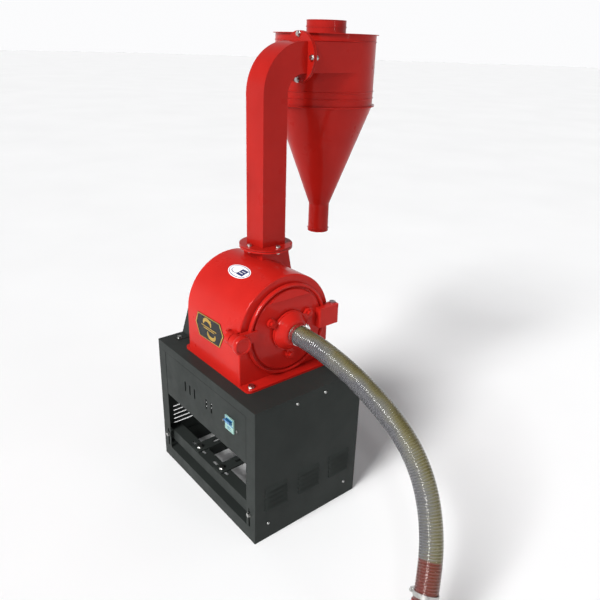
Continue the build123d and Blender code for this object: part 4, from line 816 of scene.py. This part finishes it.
def make_welds():
    """Weld beads at the duct's foot and the exhaust pipe, and rolled rims on spout and pipe."""
    at_foot = square_loop(*DUCT_MIDDLE, 0.0415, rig.box("riser_duct")[0][2] + 0.006)
    bead("weld_low_flange", at_foot, 0.0022, "stand", "red_sheet", RED_SHEET_PAINTED_SHADE, True)
    cone_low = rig.box("cyclone_cone")[0][2]
    pipe_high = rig.box("exhaust_pipe")[1][2]
    for name, z, radius, thick in (
        ("spout_bead", cone_low + 0.010, 0.0372, 0.0022),
        ("spout_lip", cone_low + 0.0012, 0.0370, 0.0013),
        ("exhaust_lip", pipe_high - 0.0012, 0.0652, 0.0012),
    ):
        centre = (CYCLONE_X, CYCLONE_Y, z)
        ring(name, centre, radius, thick, RED_SHEET_PAINTED_SHADE, "stand", "red_sheet")
    lid_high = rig.box("cyclone_lid")[1][2] + 0.0004
    round_pipe = []
    for k in range(40):
        turn = k / 20 * math.pi
        x = CYCLONE_X + EXHAUST_WELD_R * math.cos(turn)
        round_pipe.append((x, CYCLONE_Y + EXHAUST_WELD_R * math.sin(turn), lid_high))
    bead("weld_exhaust", round_pipe, 0.0020, "stand", "red_sheet", RED_SHEET_PAINTED_SHADE, True)


def make_knob():
    """Hand nut with a wide back flange, a waist and a crowned face with a turned ring."""
    low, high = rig.box("hand_nut")
    centre = ((low[0] + high[0]) / 2, high[1], (low[2] + high[2]) / 2)
    deep = high[1] - low[1]
    profile = [
        (0.0, 0.0240), (0.0006, 0.0258), (0.0022, 0.0272), (0.0060, 0.0284), (0.0100, 0.0292),
        (0.0140, 0.0295), (0.0170, 0.0290), (deep - 0.0016, 0.0278), (deep - 0.0003, 0.0262),
        (deep, 0.0244), (deep - 0.0006, 0.0230), (deep - 0.0022, 0.0222),
        (deep - 0.0028, 0.0212), (deep - 0.0024, 0.0120), (deep - 0.0022, 0.0020),
    ]
    knob = lathe("hand_knob", centre, (0, -1, 0), profile, RED_CAST, "hand_nut", "dark_plastic")
    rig.replaces(knob, "hand_nut")


def rounded_block(name, low, high, edge, material, body, slot):
    """Cast block with softened edges."""
    mesh = bpy.data.meshes.new(name)
    xs, ys, zs = zip(low, high)
    corners = [(x, y, z) for x in xs for y in ys for z in zs]
    quads = [(0, 1, 3, 2), (4, 6, 7, 5), (0, 4, 5, 1), (2, 3, 7, 6), (0, 2, 6, 4), (1, 5, 7, 3)]
    mesh.from_pydata(corners, [], quads)
    work = bmesh.new()
    work.from_mesh(mesh)
    edges = list(work.edges)
    bmesh.ops.bevel(work, geom=edges, offset=edge, segments=3, profile=0.6, affect="EDGES")
    work.to_mesh(mesh)
    work.free()
    return add_piece(name, mesh, material, body, slot)


def make_clamp_ears():
    """Two cast ears with a pin beside the hand nut, and a stub between them."""
    wall = -0.168
    across = wall - 0.0085
    for k, z in enumerate((0.632, 0.656)):
        low, high = (wall - 0.016, -0.122, z - 0.005), (wall + 0.004, -0.098, z + 0.005)
        rounded_block(f"ear_{k}", low, high, 0.0035, RED_CAST, "stand", "red_cast")
    pin = [
        (0.0, 0.0035), (0.0008, 0.0046), (0.0035, 0.0050), (0.0045, 0.0036),
        (0.0405, 0.0036), (0.0412, 0.0048), (0.0440, 0.0050), (0.0450, 0.0036),
    ]
    lathe("ear_pin", (across, -0.110, 0.6215), UP, pin, RED_CAST, "stand", "red_cast", 28)
    stub = [
        (0.0, 0.0075), (0.0012, 0.0086), (0.0060, 0.0088),
        (0.0100, 0.0070), (0.0140, 0.0058), (0.0320, 0.0056),
    ]
    leaning = (0, -1, 0.12)
    lathe("ear_stub", (across, -0.1035, 0.644), leaning, stub, RED_CAST, "stand", "red_cast", 28)


def make_clamp_slot_shade():
    """Slots cut in the band of the clamp at the dome, shown as dark inlays that are painted shade in the openings."""
    count = 40
    low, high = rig.box("inlet_clamp")
    centre = Vector((SHAFT_X, (low[1] + high[1]) / 2, SHAFT_Z))
    corners = ((-0.0038, -0.0010), (0.0038, -0.0003), (0.0038, 0.0011), (-0.0038, 0.0004))
    quads = (
        (3, 2, 1, 0), (4, 5, 6, 7), (0, 1, 5, 4), (1, 2, 6, 5), (2, 3, 7, 6), (3, 0, 4, 7),
    )
    verts, faces = [], []
    for k in range(count):
        turn = 2 * math.pi * k / count
        # no slots under the clamp's screw housing
        if math.sin(turn) > 0.80:
            continue
        out = Vector((math.cos(turn), 0, math.sin(turn)))
        along = Vector((-math.sin(turn), 0, math.cos(turn)))
        base = len(verts)
        for reach in (0.0318, 0.03245):
            for a, b in corners:
                verts.append(centre + out * reach + Vector((0, a, 0)) + along * b)
        faces += [tuple(base + i for i in quad) for quad in quads]
    # dark inlays: painted shade where the band's slots open
    new_object(
        "inlet_clamp_slots", verts, faces, DARK_STEEL, "door", "dark_steel", smooth=False
    )


def make_breaker_face():
    """Blue window round the toggle and two moulded lines under it."""
    low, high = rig.box("breaker_body")

    def place(u, v, height):
        return Vector((low[0] - height, u, v))

    def plate(name, y0, y1, z0, z1, material, height=0.0008):
        outline = [(y1, z0), (y1, z1), (y0, z1), (y0, z0)]
        shape = raised(outline, place, height)
        new_object(name, *shape, material, "stand", "breaker_blue", smooth=False)

    middle = (low[1] + high[1]) / 2
    left, right = middle - 0.021, middle + 0.021
    toggle_low, toggle_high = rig.box("breaker_toggle")
    over, under = toggle_high[2] + 0.001, toggle_low[2] - 0.001
    plate("breaker_window_top", left, right, over, high[2] - 0.002, PALE_BLUE)
    plate("breaker_window_low", left, right, under - 0.005, under, PALE_BLUE)
    for k, z in enumerate((low[2] + 0.007, low[2] + 0.013)):
        plate(f"breaker_line_{k}", left + 0.012, right - 0.012, z, z + 0.0016, BLUE, 0.0005)


def make_seam_shadow_strips():
    """Painted shadow lines round the front and back panels: dark strips for the shade in the gap where sheet meets
    sheet.
    """
    half_width = 0.244
    wide, thick, sunk = 0.0006, 0.00095, 0.0002
    for node, side in (("front_panel", -1), ("back_panel", 1)):
        low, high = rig.box(node)
        face = (low if side < 0 else high)[0]

        def place(u, v, height):
            return Vector((face + side * (height - sunk), -side * u, v))

        strips = [
            (-half_width, half_width, high[2] - wide, high[2] + wide),
            (-half_width - wide, -half_width + wide, low[2], high[2]),
            (half_width - wide, half_width + wide, low[2], high[2]),
        ]
        for k, (u0, u1, v0, v1) in enumerate(strips):
            # each strip is painted shade: a dark line where the panel gap would lie in shadow
            strip = raised([(u0, v0), (u0, v1), (u1, v1), (u1, v0)], place, thick)
            new_object(
                f"seam_{node}_{k}", *strip, RUBBER, "stand", "grey_sheet", smooth=False
            )


make_welds()
make_knob()
make_breaker_face()
make_seam_shadow_strips()
make_clamp_ears()
make_clamp_slot_shade()

# ---------------------------------------------------------------- stage and light


def make_stage():
    """Plain pale floor."""
    reach = 60
    floor = Nodes("floor_paint")
    shades = [(0.3, (0.90, 0.90, 0.90)), (0.7, (0.93, 0.93, 0.93))]
    floor.link(floor.ramp(floor.noise(0.8, 3.0), shades), "Base Color")
    floor.link(floor.spread(floor.noise(3.0, 3.0), 0.72, 0.80), "Roughness")
    floor.set(Specular_IOR_Level=0.2)
    mesh = bpy.data.meshes.new("floor")
    mesh.from_pydata(square_loop(0, 0, reach, 0), [], [(0, 1, 2, 3)])
    mesh.materials.append(floor.material)
    plane = bpy.data.objects.new("floor", mesh)
    scene.collection.objects.link(plane)
    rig.stage(plane)


def aim(lamp, place, target):
    """Put a lamp somewhere and point it at a place."""
    lamp.location = place
    lamp.rotation_euler = (Vector(target) - Vector(place)).to_track_quat("-Z", "Y").to_euler()


def area_light(name, place, target, size, power):
    """Rectangular lamp."""
    data = bpy.data.lights.new(name, "AREA")
    data.shape = "RECTANGLE"
    data.size, data.size_y = size
    data.energy = power
    lamp = bpy.data.objects.new(name, data)
    scene.collection.objects.link(lamp)
    aim(lamp, place, target)


def make_light():
    """Broad sun from the left, two small lamps for highlights, and a surround that
    is palest at the horizon and darker overhead."""
    world = bpy.data.worlds.new("studio")
    scene.world = world
    world.use_nodes = True
    tree = world.node_tree
    place = tree.nodes.new("ShaderNodeTexCoord")
    split = tree.nodes.new("ShaderNodeSeparateXYZ")
    ramp = tree.nodes.new("ShaderNodeValToRGB")
    tree.links.new(place.outputs["Generated"], split.inputs[0])
    tree.links.new(split.outputs["Z"], ramp.inputs["Fac"])
    elements = ramp.color_ramp.elements
    elements[0].position = 0.13
    elements[0].color = (0.97, 0.97, 0.98, 1.0)
    elements[1].position = 0.75
    elements[1].color = (0.13, 0.13, 0.135, 1.0)
    middle = elements.new(0.34)
    middle.color = (0.42, 0.42, 0.43, 1.0)
    tree.links.new(ramp.outputs["Color"], tree.nodes["Background"].inputs["Color"])
    tree.nodes["Background"].inputs["Strength"].default_value = 1.0

    sun = bpy.data.lights.new("key", "SUN")
    sun.energy = 3.95
    sun.angle = math.radians(24)
    lamp = bpy.data.objects.new("key", sun)
    scene.collection.objects.link(lamp)
    aim(lamp, (-3.2, -0.45, 3.1), (0, 0, 0.5))
    area_light("front_left", (-2.0, -3.0, 3.0), (0.1, -0.1, 0.8), (0.17, 0.17), 12)
    area_light("strip", (0.9, -3.4, 2.2), (0.4, 0.0, 1.2), (0.04, 1.5), 6)
    scene.view_settings.view_transform = "Standard"


make_stage()
make_light()

low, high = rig.bounds()
json.dump({"cad": cad_bounds, "visual": [list(low), list(high)]}, open("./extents.json", "w"))
